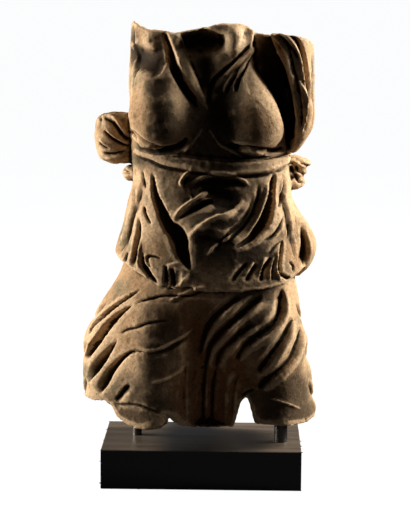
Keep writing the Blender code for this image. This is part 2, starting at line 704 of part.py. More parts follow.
def blend_chest(mesh):
    """Let the breasts run smoothly into the chest above them, round after round."""
    count = len(mesh.vertices)
    place = np.empty(count * 3, dtype=np.float32)
    joined = np.empty(len(mesh.edges) * 2, dtype=np.int32)
    mesh.vertices.foreach_get("co", place)
    mesh.edges.foreach_get("vertices", joined)
    place = place.reshape(-1, 3).astype(float)
    first, second = joined.reshape(-1, 2).T
    links = np.maximum(np.bincount(first, minlength=count) + np.bincount(second, minlength=count), 1)
    x, y, z = place.T.copy()
    share = np.clip((95.0 - z) / 4, 0, 1) * np.clip((z - 70.0) / 6, 0, 1)
    share *= np.clip((-4.0 - y) / 3, 0, 1) * np.clip((x + 18.5) / 2, 0, 1) * np.clip((19.0 - x) / 3, 0, 1)
    for _ in range(round(CHEST_BLEND / STONE_GRAIN**2)):
        for axis in range(3):
            values = place[:, axis]
            total = np.bincount(first, values[second], count) + np.bincount(second, values[first], count)
            place[:, axis] = values + share * (total / links - values)
    mesh.vertices.foreach_set("co", place.astype(np.float32).ravel())
    mesh.update()


def carve(target):
    """Raise and cut a figure's skin along the drawn strokes and roughen its breaks."""
    mesh = target.data
    blend_chest(mesh)
    count = len(mesh.vertices)
    place = np.empty(count * 3, dtype=np.float32)
    normal = np.empty(count * 3, dtype=np.float32)
    mesh.vertices.foreach_get("co", place)
    mesh.vertices.foreach_get("normal", normal)
    place, normal = place.reshape(-1, 3).astype(float), normal.reshape(-1, 3)
    share = -EYE[1] / (place[:, 1] - EYE[1])
    drawn_x = EYE[0] + (place[:, 0] - EYE[0]) * share
    drawn_z = EYE[2] + (place[:, 2] - EYE[2]) * share
    front = neckline_strokes() + under_bust_strokes() + knot_strokes() + overfold_strokes()
    front += hem_strokes() + skirt_left_strokes() + skirt_right_strokes() + sleeve_strokes()
    front += bunches_strokes()
    boards = [
        (drawn_x, drawn_z, -normal[:, 1], front),
        (place[:, 0], place[:, 2], normal[:, 1], back_strokes()),
        (place[:, 1], place[:, 2], np.abs(normal[:, 0]) - 0.5, flank_strokes()),
    ]
    rise = np.zeros(count)
    for across, up, turned, strokes in boards:
        height = np.zeros(count)
        for stroke in strokes:
            height += line_heights(across, up, stroke)
        rise += height * facing(turned)
    broken = np.clip((np.abs(normal[:, 2]) - 0.8) / 0.15, 0, 1)
    rough = np.array([noise.fractal(Vector(point) / 5.0, 0.8, 2.0, 3) for point in place])
    inside = np.minimum(place[:, 2] - UPRIGHT_FROM, UPRIGHT_TO - place[:, 2])
    outward = normal * (rise * (1 - broken))[:, None]
    outward[:, 2] *= np.clip(inside / UPRIGHT_BLEND, 0, 1)
    place += outward + normal * (rough * (0.12 + 0.45 * broken))[:, None]
    mesh.vertices.foreach_set("co", place.astype(np.float32).ravel())
    mesh.update()


def add_roll(bm, collection):
    """The mantle's roll across the back, as a thick curve made into a skin."""
    curve = bpy.data.curves.new("back_roll", "CURVE")
    curve.dimensions = "3D"
    curve.bevel_depth = BACK_ROLL_RADIUS
    curve.use_fill_caps = True
    path = curve.splines.new("POLY")
    points = spline(BACK_ROLL)
    path.points.add(len(points) - 1)
    for point, position in zip(path.points, points):
        point.co = (*position, 1.0)
    roll = add_object("back_roll", curve, collection)
    mesh = evaluated_mesh(roll)
    bpy.data.objects.remove(roll)
    bm.from_mesh(mesh)


def make_overfold(cutters):
    """The overfold's bell, cut off along its wavy edge."""
    bm = bmesh.new()
    add_loft(bm, OVERFOLD)
    mesh = bpy.data.meshes.new("overfold")
    bm.to_mesh(mesh)
    bm.free()
    overfold = add_object("overfold", mesh, cutters)
    outline = [*HEM, (HEM[-1][0], 0.0), (HEM[0][0], 0.0)]
    cut(overfold, cutter("overfold_edge", outline, -BREAK_REACH, BREAK_REACH, level, cutters))
    made = evaluated_mesh(overfold)
    bpy.data.objects.remove(overfold)
    return made


def make_torso(collection, cutters):
    """The whole figure: masses, breaks, carving, and the two drilled sockets."""
    bm = bmesh.new()
    for rows in (SKIRT, CHEST, BACK, SLEEVE, ELBOW_CLOTH, HEM_TAIL):
        add_loft(bm, rows)
    add_loft(bm, NECK, squareness=2.0)
    for centre, radii in (*BREASTS, *WRIST_CLOTH, ELBOW_FLAP):
        add_ellipsoid(bm, centre, radii)
    add_roll(bm, cutters)
    bm.from_mesh(make_overfold(cutters))
    mesh = bpy.data.meshes.new("torso")
    bm.to_mesh(mesh)
    bm.free()
    torso = add_object("torso", mesh, collection)
    remesh(torso, STONE_GRAIN)
    top = [*TOP_BREAK, (TOP_BREAK[-1][0], 130.0), (TOP_BREAK[0][0], 130.0)]
    foot = [*FOOT_BREAK, (FOOT_BREAK[-1][0], -30.0), (FOOT_BREAK[0][0], -30.0)]
    cut(torso, cutter("top_break", top, -BREAK_REACH, BREAK_REACH, sloping, cutters))
    cut(torso, cutter("foot_break", foot, -BREAK_REACH, BREAK_REACH, level, cutters))
    cut(torso, cutter("sleeve_hollow", HOLLOW, -BREAK_REACH, HOLLOW_FLOOR, sight, cutters))
    cut(torso, ellipsoid_cutter("throat_hollow", *THROAT, cutters))
    remesh(torso, STONE_GRAIN)
    carve(torso)
    thin = torso.modifiers.new("facets", "DECIMATE")
    torso.data.calc_loop_triangles()
    thin.ratio = STONE_TRIANGLES / len(torso.data.loop_triangles)
    bake(torso)
    torso.data.transform(Matrix.Translation((0, 0, TORSO_FOOT)) @ Matrix.Scale(UNIT, 4))
    torso.data.shade_smooth()
    torso.data.materials.clear()
    torso.data.materials.append(material(STONE))
    return torso


def rod_place(at, radius):
    """Axis, radius, lower end and upper end of a rod."""
    low = PLINTH_HEIGHT - ROD_SEAT
    high = TORSO_FOOT + ROD_GRIP
    return (at[0] * UNIT, at[1] * UNIT), radius, low, high


def cylinder(name, axis, radius, low, high, collection):
    """A closed upright cylinder."""
    bm = bmesh.new()
    place = Matrix.Translation((*axis, (low + high) / 2))
    bmesh.ops.create_cone(
        bm, cap_ends=True, segments=ROD_SIDES, radius1=radius, radius2=radius, depth=high - low, matrix=place
    )
    mesh = bpy.data.meshes.new(name)
    bm.to_mesh(mesh)
    bm.free()
    return add_object(name, mesh, collection)


def socket(name, rod, collection):
    """A cutter that leaves the fitting gap all round a rod."""
    axis, radius, low, high = rod
    made = cylinder(name, axis, radius + FIT_GAP, low - FIT_GAP, high + FIT_GAP, collection)
    hide_cutter(made)
    return made


def make_plinth(half_length, collection):
    """The block, with its edges slightly rounded."""
    bm = bmesh.new()
    size = Matrix.Diagonal((2 * half_length, PLINTH_DEPTH, PLINTH_HEIGHT, 1.0))
    bmesh.ops.create_cube(bm, size=1.0, matrix=Matrix.Translation((0, 0, PLINTH_HEIGHT / 2)) @ size)
    mesh = bpy.data.meshes.new("plinth")
    bm.to_mesh(mesh)
    bm.free()
    plinth = add_object("plinth", mesh, collection)
    rounding = plinth.modifiers.new("rounded_edges", "BEVEL")
    rounding.width = PLINTH_BEVEL
    rounding.segments = 2
    mesh.materials.append(material(LACQUER))
    return plinth


def main():
    """Build the torso, the plinth and the two rods."""
    for old in list(bpy.data.objects):
        bpy.data.objects.remove(old)
    collection = bpy.data.collections.new("draped_torso")
    cutters = bpy.data.collections.new("cutters")
    bpy.context.scene.collection.children.link(collection)
    bpy.context.scene.collection.children.link(cutters)
    rods = {
        "rod_left": rod_place(ROD_LEFT_AT, ROD_LEFT_RADIUS),
        "rod_right": rod_place(ROD_RIGHT_AT, ROD_RIGHT_RADIUS),
    }
    half_length = max(abs(rod[0][0]) for rod in rods.values()) + PLINTH_MARGIN
    torso = make_torso(collection, cutters)
    plinth = make_plinth(half_length, collection)
    steel = material(STEEL)
    for name, rod in rods.items():
        made = cylinder(name, *rod, collection)
        made.data.materials.append(steel)
        made.data.shade_smooth()
        made.data.set_sharp_from_angle(angle=0.7)
        tool = socket(name + "_socket", rod, cutters)
        cut(torso, tool)
        cut(plinth, tool)


main()
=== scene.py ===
"""Finished looks of a draped schist torso, broken at neck, arms and thighs, on rods above a black plinth.

The figure is worked out in hundredths of its own height: X from the plinth's centre, Z from its lowest
point and Y from the upright plane through the plinth's centre. Its carving is a set of strokes drawn on
that plane as seen from a viewing point in front, and on two more boards for the back and the flanks.
"""

import logging
import math
from dataclasses import dataclass, field
from enum import Enum

import bmesh
import bpy
import numpy as np
from mathutils import Matrix, Vector, noise


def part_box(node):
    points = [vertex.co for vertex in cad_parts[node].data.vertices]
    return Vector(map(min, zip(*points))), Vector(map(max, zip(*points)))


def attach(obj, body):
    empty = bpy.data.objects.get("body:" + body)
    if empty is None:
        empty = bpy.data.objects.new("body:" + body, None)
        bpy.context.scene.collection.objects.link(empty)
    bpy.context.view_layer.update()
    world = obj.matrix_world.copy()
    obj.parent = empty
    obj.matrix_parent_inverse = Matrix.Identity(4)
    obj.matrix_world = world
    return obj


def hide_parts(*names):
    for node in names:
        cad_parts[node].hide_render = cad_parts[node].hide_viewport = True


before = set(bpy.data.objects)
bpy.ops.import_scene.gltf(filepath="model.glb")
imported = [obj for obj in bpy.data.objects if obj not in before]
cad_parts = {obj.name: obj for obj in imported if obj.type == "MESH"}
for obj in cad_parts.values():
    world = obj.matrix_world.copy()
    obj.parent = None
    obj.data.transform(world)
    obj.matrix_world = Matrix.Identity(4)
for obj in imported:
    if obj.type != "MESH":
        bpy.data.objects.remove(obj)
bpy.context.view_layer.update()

log = logging.getLogger("schist_torso")

Point = tuple[float, ...]
Row = tuple[float, float, float, float, float]
Pair = tuple[float, float]
Colour = tuple[float, float, float, float]
Socket = bpy.types.NodeSocket

BODY = "root"

BOLDNESS = 1.3
CRISPNESS = 1.15
WALL_SHARE = 0.4
FADE_POWER = 0.7
BEND_STEPS = 6
CLOSE_STEPS = 5
PORE_RANGE = (0.05, 0.32)
SPHERE_PARTS = {"u_segments": 48, "v_segments": 32}

SOFT_ENDS = (0.25, 0.25)
CUT_ENDS = (0.1, 0.1)
BLUNT_ENDS = (0.02, 0.02)
HANGING_ENDS = (0.3, 0.01)

# Patch colours. The reddish one is a real earthy stain. The dark, greenish and black ones mostly lie where
# the figure is in shade, so they are painted shade as well as stains; the black one is painted shade behind
# the sleeve and in the darkest parts of the front. The pale one is a painted light.
DARK = (0.040, 0.026, 0.015, 1.0)
RUST = (0.200, 0.078, 0.026, 1.0)
DARK_GREEN = (0.030, 0.030, 0.018, 1.0)
SHADE_BLACK = (0.014, 0.009, 0.005, 1.0)
PAINTED_LIGHT = (0.66, 0.48, 0.30, 1.0)

WEATHER_INPUTS = ("Dent Depth", "Dent Size", "Grain Depth", "Grain Size", "Pit Depth", "Pit Size", "Seed")
CHIP_INPUTS = ("Spacing", "Share", "Size", "Seed")


class Board(Enum):
    """The drawing board that a stroke lies on."""

    FRONT = "front"
    BACK = "back"
    FLANK = "flank"


class Edge(Enum):
    """How a stroke's flank runs out into the stone."""

    SOFT = "soft"
    CRISP = "crisp"
    FLAT = "flat"


@dataclass(frozen=True)
class Stroke:
    """A drawn line that raises or cuts the stone, with a reach to each side of its direction."""

    points: list[Point]
    height: float
    left: float
    right: float
    edge: Edge = Edge.SOFT
    ends: Pair = SOFT_ENDS


def spline(points: list[Point], steps: int = BEND_STEPS) -> np.ndarray:
    """Points along the smooth curve through the given ones.

    Args:
        points: The curve's own points, of any number of values each.
        steps: How many points to read between two of them.

    Returns:
        The points of the curve, one a row.
    """
    keys = np.array(points, dtype=float)
    padded = np.vstack([2 * keys[0] - keys[1], keys, 2 * keys[-1] - keys[-2]])
    path = []
    for before, start, end, after in zip(padded[:-3], padded[1:-2], padded[2:-1], padded[3:]):
        for step in range(steps):
            t = step / steps
            bend = 2 * start + (end - before) * t
            bend += (2 * before - 5 * start + 4 * end - after) * t**2
            bend += (3 * start - before - 3 * end + after) * t**3
            path.append(bend / 2)
    path.append(keys[-1])
    return np.array(path)


def between(first: list[Point], last: list[Point], count: int) -> list[np.ndarray]:
    """Evenly spread lines from a first to a last one.

    Args:
        first: The first line's points.
        last: The last line's points, as many as the first has.
        count: How many lines to give, both of them included.

    Returns:
        The lines, in order.
    """
    start, end = np.array(first, dtype=float), np.array(last, dtype=float)
    return [start + (end - start) * share for share in np.linspace(0, 1, count)]


def past(values: np.ndarray, edge: float, blend: float) -> np.ndarray:
    """How far values have passed an edge, from 0 on it to 1 a blend above it."""
    return np.clip((values - edge) / blend, 0, 1)


def short_of(values: np.ndarray, edge: float, blend: float) -> np.ndarray:
    """How far values stay below an edge, from 0 on it to 1 a blend below it."""
    return np.clip((edge - values) / blend, 0, 1)


def shifted(points: list[Point], x: float, z: float) -> list[Point]:
    """The same line moved sideways or up."""
    return [(point[0] + x, point[1] + z, *point[2:]) for point in points]


def groove(points: list[Point], depth: float, reach: float, right: float | None = None) -> Stroke:
    """A cut line, with one reach on both sides or a second one to the right."""
    return Stroke(points, -BOLDNESS * depth, reach, right or reach, Edge.CRISP)


def ridge(points: list[Point], height: float, reach: float, right: float | None = None) -> Stroke:
    """A rounded raised line, with one reach on both sides or a second one to the right."""
    return Stroke(points, BOLDNESS * height, reach, right or reach)


def lip(points: list[Point], height: float, reach: float, right: float | None = None) -> Stroke:
    """A sharp raised line, such as the edge of a layer of cloth."""
    return Stroke(points, BOLDNESS * height, reach, right or reach, Edge.CRISP)


def band(points: list[Point], height: float, reach: float) -> Stroke:
    """A flat raised band with steep edges, such as a belt."""
    return Stroke(points, BOLDNESS * height, reach, reach, Edge.FLAT, BLUNT_ENDS)


def channel(points: list[Point], depth: float, reach: float) -> Stroke:
    """A flat-bottomed cut with steep walls, such as a deep fold."""
    return Stroke(points, -BOLDNESS * depth, reach, reach, Edge.FLAT, CUT_ENDS)


def swell(points: list[Point], height: float, reach: float, ends: Pair = SOFT_ENDS) -> Stroke:
    """A broad soft rise, or a hollow where the height is negative."""
    return Stroke(points, height, reach, reach, Edge.SOFT, ends)


@dataclass(frozen=True)
class Drawing:
    """Reads how much each stroke raises or cuts a set of points on its board."""

    strokes: list[Stroke]

    def heights(self, across: np.ndarray, up: np.ndarray) -> np.ndarray:
        """The summed height of all strokes.

        Args:
            across: The points' first coordinate on the board.
            up: The points' second coordinate on the board.

        Returns:
            The height at each point.
        """
        total = np.zeros(len(across))
        for stroke in self.strokes:
            total += self.stroke_heights(across, up, stroke)
        return total

    @staticmethod
    def stroke_heights(across: np.ndarray, up: np.ndarray, stroke: Stroke) -> np.ndarray:
        """The height that one stroke gives.

        Args:
            across: The points' first coordinate on the board.
            up: The points' second coordinate on the board.
            stroke: The stroke.

        Returns:
            The height at each point.
        """
        heights = np.zeros(len(across))
        keys = [(*point, 1.0) if len(point) == 2 else tuple(point) for point in stroke.points]
        path = spline(keys)
        reach = max(stroke.left, stroke.right)
        low, high = path[:, :2].min(axis=0) - reach, path[:, :2].max(axis=0) + reach
        near = np.flatnonzero((across > low[0]) & (across < high[0]) & (up > low[1]) & (up < high[1]))
        if not len(near):
            return heights
        px, pz = across[near], up[near]
        distance = np.full(len(near), np.inf)
        side, place, width = np.zeros(len(near)), np.zeros(len(near)), np.ones(len(near))
        pieces = len(path) - 1
        for index in range(pieces):
            (ax, az, a_width), (bx, bz, b_width) = path[index], path[index + 1]
            run_x, run_z = bx - ax, bz - az
            share = np.clip(((px - ax) * run_x + (pz - az) * run_z) / (run_x**2 + run_z**2), 0, 1)
            off_x, off_z = px - ax - share * run_x, pz - az - share * run_z
            away = np.hypot(off_x, off_z)
            closer = away < distance
            distance = np.where(closer, away, distance)
            side = np.where(closer, run_x * off_z - run_z * off_x, side)
            place = np.where(closer, (index + share) / pieces, place)
            width = np.where(closer, a_width + share * (b_width - a_width), width)
        spread = np.where(side > 0, stroke.left, stroke.right) * width
        rise = np.clip(1 - distance / spread, 0, 1)
        if stroke.edge is Edge.FLAT:
            rise = np.clip(rise / WALL_SHARE, 0, 1)
        profile = rise**CRISPNESS if stroke.edge is Edge.CRISP else rise**2 * (3 - 2 * rise)
        fade = np.minimum(place / stroke.ends[0], (1 - place) / stroke.ends[1])
        heights[near] = stroke.height * width * profile * np.clip(fade, 0, 1) ** FADE_POWER
        return heights


@dataclass(frozen=True)
class Sight:
    """The viewing point of the drawn carving, in hundredths of the torso's height."""

    x: float = 8.8
    y: float = -479.0
    z: float = 105.4

    def drawn(self, place: np.ndarray) -> tuple[np.ndarray, np.ndarray]:
        """Where points appear on the drawing plane.

        Args:
            place: The points, one a row.

        Returns:
            Their two coordinates on the plane.
        """
        share = -self.y / (place[:, 1] - self.y)
        return self.x + (place[:, 0] - self.x) * share, self.z + (place[:, 2] - self.z) * share

    def reach(self, x: float, z: float, depth: float) -> Point:
        """Where the sight line through a drawn point reaches another depth."""
        share = (depth - self.y) / -self.y
        return self.x + (x - self.x) * share, depth, self.z + (z - self.z) * share


class Drapery:
    """The carved cloth of the figure, as strokes on its drawing boards."""

    def front(self) -> list[Stroke]:
        """All strokes of the front board.

        Returns:
            The strokes, in the order in which they are added up.
        """
        return [
            *self.neckline(),
            *self.under_bust(),
            *self.knot(),
            *self.overfold(),
            *self.hem(),
            *self.skirt_left(),
            *self.skirt_right(),
            *self.sleeve(),
            *self.bunches(),
        ]

    def neckline(self) -> list[Stroke]:
        """The strap of the V neckline, the hollow beside the arm and the fan of folds opposite.

        Returns:
            The strokes, in the order in which they are added up.
        """
        return [
            band([
                (-8.4, 97.7, 0.9), (-7.3, 95.1, 0.95), (-6.4, 92.7), (-5.1, 89.0), (-3.3, 85.0, 0.85),
                (-1.3, 81.6, 0.5), (0.9, 77.9, 0.15),
            ], 0.8, 1.5),
            lip([
                (-6.8, 97.8), (-6.1, 95.6), (-4.9, 92.8), (-3.6, 89.0), (-2.2, 85.5), (-0.6, 81.9),
                (1.1, 78.2),
            ], 0.6, 0.5),
            lip([(-6.9, 90.7), (-6.3, 88.7), (-5.4, 86.7), (-4.6, 85.0)], 0.35, 0.4),
            groove([
                (-10.4, 97.7, 0.4), (-9.3, 94.8, 0.55), (-8.3, 91.4, 0.8), (-7.5, 88.2, 0.8),
                (-6.1, 85.5, 0.8), (-4.3, 82.8, 0.9), (-2.7, 80.4, 0.9), (-1.4, 77.9, 0.6),
            ], 1.9, 1.7),
            groove([
                (12.3, 95.2), (9.7, 92.7), (6.6, 89.8), (4.2, 87.6), (2.2, 85.6), (1.2, 82.9), (1.1, 79.4),
            ], 1.2, 0.8),
            lip([(12.3, 94.0), (10.1, 91.8), (7.2, 88.7), (5.2, 86.6)], 0.6, 0.8),
            lip([(11.8, 93.5), (10.9, 91.2), (9.5, 88.9), (8.2, 86.1), (7.4, 84.4), (7.2, 82.5)], 0.7, 0.5),
            groove([(11.6, 92.0), (10.3, 89.3), (8.8, 86.6), (8.0, 84.4), (7.8, 82.7)], 0.8, 0.5),
            lip([(7.6, 87.8), (6.5, 86.1), (5.3, 84.4), (4.6, 82.3)], 0.6, 0.5),
            groove([(7.7, 87.1), (6.8, 85.6), (5.8, 83.9), (5.2, 82.4)], 0.6, 0.5),
            lip([(11.1, 90.3), (9.9, 86.1), (10.4, 83.4), (11.0, 81.7)], 0.35, 0.5),
            swell([(-0.5, 93.2), (0.0, 87.8), (0.8, 81.6)], -1.6, 4.0),
            swell([(6.6, 99.0), (7.4, 95.0), (6.0, 91.5)], 1.6, 3.5),
            swell([(-13.1, 98.0), (-13.6, 95.0), (-11.9, 92.6)], 0.9, 3.0),
            swell([(-18.3, 94.0), (-16.8, 92.0), (-14.6, 90.3), (-11.6, 89.1), (-10.1, 88.2)], -1.3, 4.2),
            groove([(-17.9, 98.9), (-17.9, 95.0), (-17.5, 91.1)], 0.5, 0.5),
        ]

    def under_bust(self) -> list[Stroke]:
        """The creases under the breasts, the crossed edges between them and the belt.

        Returns:
            The strokes, in the order in which they are added up.
        """
        return [
            groove([(-18.4, 72.9), (-16.7, 71.4), (-15.0, 70.0), (-13.0, 69.1), (-10.3, 68.8)], 0.9, 0.7),
            lip([(-18.2, 71.9), (-16.5, 70.3), (-14.5, 69.0), (-11.5, 69.0), (-8.2, 69.4)], 0.5, 0.55),
            groove([(-13.5, 68.5), (-9.8, 68.2), (-6.5, 68.9), (-4.1, 71.2)], 1.0, 1.2),
            groove([
                (5.8, 70.0), (8.8, 68.8), (12.5, 68.5), (15.3, 68.0), (18.0, 68.3), (19.8, 69.2),
            ], 1.1, 0.9),
            lip([(9.6, 68.8), (12.6, 67.9), (15.0, 67.3), (18.0, 67.5), (20.0, 68.4)], 0.6, 0.6),
            band([
                (-17.5, 68.1, 0.35), (-15.5, 66.8, 0.4), (-13.2, 66.2, 0.42), (-10.3, 65.4, 0.62),
                (-6.8, 65.0, 0.85), (-4.0, 64.8, 0.95), (1.4, 64.0), (6.4, 63.6), (11.4, 63.8),
                (14.6, 64.2, 0.95), (17.8, 64.9, 0.8), (20.7, 66.1, 0.6), (22.2, 67.0, 0.4),
            ], 0.6, 2.0),
            groove([
                (-17.5, 67.1), (-15.5, 66.0), (-13.2, 65.2), (-10.2, 63.9), (-6.8, 63.1), (-4.0, 62.7),
                (1.4, 61.9), (6.4, 61.5), (11.4, 61.6), (14.6, 61.9), (17.8, 62.7, 0.8), (20.8, 63.8, 0.6),
            ], 0.6, 0.6),
            lip([
                (-17.5, 68.8), (-15.5, 67.5), (-11.5, 66.7), (-7.0, 66.7), (-3.6, 66.6), (1.4, 66.0),
                (6.4, 65.6), (11.3, 65.8), (15.0, 66.2), (18.0, 67.1), (20.6, 68.3),
            ], 0.35, 0.4),
            lip([(-0.4, 73.7), (-1.9, 71.5), (-3.6, 69.2), (-5.1, 67.6)], 0.5, 0.5),
            lip([(0.9, 73.7), (3.6, 69.9), (5.3, 68.8), (7.8, 67.5), (10.0, 66.1)], 0.5, 0.5),
        ]

    def knot(self) -> list[Stroke]:
        """The tied cloth below the belt, its loop and the hollow under it.

        Returns:
            The strokes, in the order in which they are added up.
        """
        return [
            swell([(2.0, 46.0), (4.0, 54.0)], 1.6, 8.0),
            ridge([(-2.5, 63.4), (-4.2, 62.3), (-5.4, 60.9), (-5.8, 59.7), (-4.9, 58.9)], 0.9, 0.7),
            swell([(-1.0, 59.0, 0.7), (2.4, 58.2), (5.8, 57.0, 0.8), (8.0, 55.4, 0.5)], -1.1, 4.2),
            groove([
                (-3.3, 58.6, 0.4), (-1.0, 60.0, 0.8), (1.9, 60.7), (5.4, 60.6), (8.4, 60.4),
                (10.4, 59.1, 0.6),
            ], 0.9, 0.9, 2.0),
            ridge([
                (-3.8, 59.5, 0.7), (-2.0, 60.6), (0.2, 61.5), (2.9, 62.0), (5.9, 61.8), (8.4, 61.3),
                (10.2, 60.4, 0.8), (11.8, 59.0, 0.3),
            ], 0.7, 0.9),
            ridge([
                (-7.4, 51.0), (-6.1, 52.9), (-3.9, 54.7), (-1.9, 56.0), (0.0, 57.2), (1.2, 57.8),
            ], 0.8, 0.9),
            groove([
                (-7.2, 50.1, 0.3), (-4.5, 52.2, 0.7), (-2.2, 53.5, 0.9), (0.1, 54.7), (2.2, 55.3, 0.8),
            ], 1.6, 1.1),
            lip([(-3.4, 56.9), (-2.9, 55.1)], 0.4, 0.4),
            lip([
                (-3.8, 45.5), (-2.3, 47.8), (0.4, 49.8), (3.0, 51.1), (5.5, 52.0), (8.0, 53.5), (9.9, 55.9),
            ], 1.0, 1.0, 3.0),
            lip([(0.8, 41.5), (2.6, 43.8), (4.8, 45.3), (6.8, 46.5)], 0.5, 0.6),
            groove([(2.3, 42.3), (5.1, 46.1), (9.0, 49.6), (11.5, 53.7), (12.4, 56.9)], 0.6, 0.7),
            groove([
                (13.6, 59.9), (13.5, 56.9), (12.7, 54.2), (11.6, 51.7), (9.8, 49.1), (7.3, 46.6),
                (4.6, 43.8),
            ], 0.8, 0.7),
            ridge([(15.9, 59.9), (15.5, 57.4), (14.8, 55.1), (13.2, 50.7), (11.0, 47.9)], 0.7, 0.9),
        ]

    def overfold(self) -> list[Stroke]:
        """The two deep folds of the overfold and the narrow ones beside them.

        Returns:
            The strokes, in the order in which they are added up.
        """
        return [
            channel([
                (-13.0, 62.7, 0.15), (-12.4, 57.6, 0.38), (-11.1, 53.9, 0.5), (-9.1, 49.5, 0.7),
                (-7.2, 47.7, 0.95), (-6.0, 45.5), (-5.5, 43.0, 0.85), (-4.8, 41.2, 0.68), (-4.3, 39.9, 0.5),
                (-3.3, 37.8, 0.15),
            ], 3.6, 2.4),
            channel([
                (17.5, 62.4, 0.28), (17.0, 59.1, 0.55), (16.4, 54.5, 0.83), (15.1, 50.4),
                (12.7, 47.1, 0.72), (11.0, 45.6, 0.5), (8.1, 43.8, 0.2),
            ], 3.2, 1.75),
            groove([
                (-17.7, 60.9, 0.6), (-17.7, 55.4, 0.7), (-18.4, 51.4, 0.9), (-19.4, 47.3), (-20.5, 44.3),
                (-21.4, 41.7),
            ], 0.9, 0.8),
            groove([
                (-16.4, 51.9, 0.4), (-16.4, 48.9, 0.8), (-16.7, 45.4), (-17.3, 42.3), (-18.0, 38.5),
            ], 1.3, 1.0),
            groove([(-15.6, 63.1), (-15.3, 60.4), (-15.0, 58.2)], 0.5, 0.45),
            groove([(-15.1, 54.2), (-14.6, 51.9), (-13.2, 49.3)], 0.6, 0.5),
            groove([(20.2, 61.7), (20.1, 58.2), (19.6, 55.6), (19.0, 53.9)], 0.8, 0.55),
            groove([(20.2, 51.7), (19.3, 49.5), (17.5, 47.0), (15.3, 45.5)], 0.9, 0.6),
            lip([(20.1, 50.7), (19.0, 48.3), (17.3, 46.3)], 0.4, 0.5),
            groove([(21.9, 50.5), (21.8, 48.2), (21.3, 46.0)], 0.6, 0.5),
            swell([(24.6, 50.3, 0.5), (25.1, 46.3, 0.8), (25.4, 42.7), (25.0, 39.2, 0.7)], -2.3, 1.8),
            lip([(23.2, 49.5), (24.0, 45.7), (24.6, 42.8), (24.9, 40.5), (24.1, 38.2)], 0.5, 0.6),
        ]

    def hem(self) -> list[Stroke]:
        """The pleats and the turned tips along the overfold's edge.

        Returns:
            The strokes, in the order in which they are added up.
        """
        return [
            groove([(-19.5, 42.6), (-19.9, 39.8)], 0.6, 0.5),
            channel([
                (-15.4, 42.3, 0.3), (-15.3, 39.3, 0.9), (-14.3, 37.8), (-13.4, 36.4, 0.9),
                (-11.6, 34.6, 0.3),
            ], 1.8, 0.7),
            lip([(-15.9, 46.4), (-16.2, 42.3), (-16.5, 39.3), (-16.0, 38.1)], 0.4, 0.5),
            groove([(-14.1, 39.6), (-14.3, 40.7), (-13.6, 41.4), (-12.0, 41.2), (-10.8, 40.8)], 0.8, 0.45),
            groove([(-14.3, 40.8), (-13.9, 39.6), (-13.3, 38.1)], 0.3, 0.4),
            channel([(-9.6, 38.9, 0.7), (-9.5, 36.6), (-9.5, 33.3)], 1.6, 0.6),
            channel([(-8.1, 38.4, 0.8), (-8.0, 36.4), (-7.9, 33.1)], 1.2, 0.8),
            swell([(-6.9, 37.9), (-6.9, 33.8)], -0.9, 1.6),
            lip([(-8.9, 39.1), (-7.1, 39.5), (-5.9, 39.6), (-4.6, 38.7), (-3.4, 37.5)], 0.4, 0.6),
            lip([(-3.4, 37.5), (-4.5, 35.6), (-6.6, 33.9)], 0.4, 0.5),
            groove([(10.9, 39.8), (8.6, 37.4), (7.0, 35.0)], 0.8, 0.6),
            lip([(12.8, 40.1), (11.5, 38.4), (10.4, 36.8)], 0.6, 0.55),
            groove([(13.1, 39.6), (11.9, 37.5), (10.7, 35.3)], 1.2, 0.7),
            lip([(15.6, 41.4), (14.5, 39.0), (14.0, 36.1)], 0.6, 0.55),
            channel([(16.8, 41.3, 0.4), (15.7, 39.6, 0.9), (14.9, 37.9), (14.5, 35.3, 0.8)], 1.4, 0.6),
            lip([(18.2, 41.9), (17.0, 39.8), (16.5, 37.5), (16.7, 35.4)], 0.6, 0.5),
            groove([(18.0, 41.4), (17.4, 39.4), (17.1, 37.4), (17.3, 35.4)], 0.8, 0.4),
            lip([(18.9, 44.2), (18.3, 41.2), (18.0, 38.7), (18.6, 36.8), (19.4, 35.4)], 0.8, 0.5),
            channel([(19.7, 45.8, 0.3), (19.3, 42.7, 0.8), (18.9, 39.8), (19.1, 37.9, 0.9)], 1.7, 0.65),
            groove([(19.6, 45.6), (17.5, 43.7), (16.2, 41.8)], 0.5, 0.5),
            groove([(18.5, 37.8), (19.7, 37.0), (21.0, 36.3), (21.9, 36.5)], 1.0, 0.6),
            groove([(21.5, 40.4), (22.5, 39.3), (22.7, 37.7)], 0.6, 0.4),
        ]

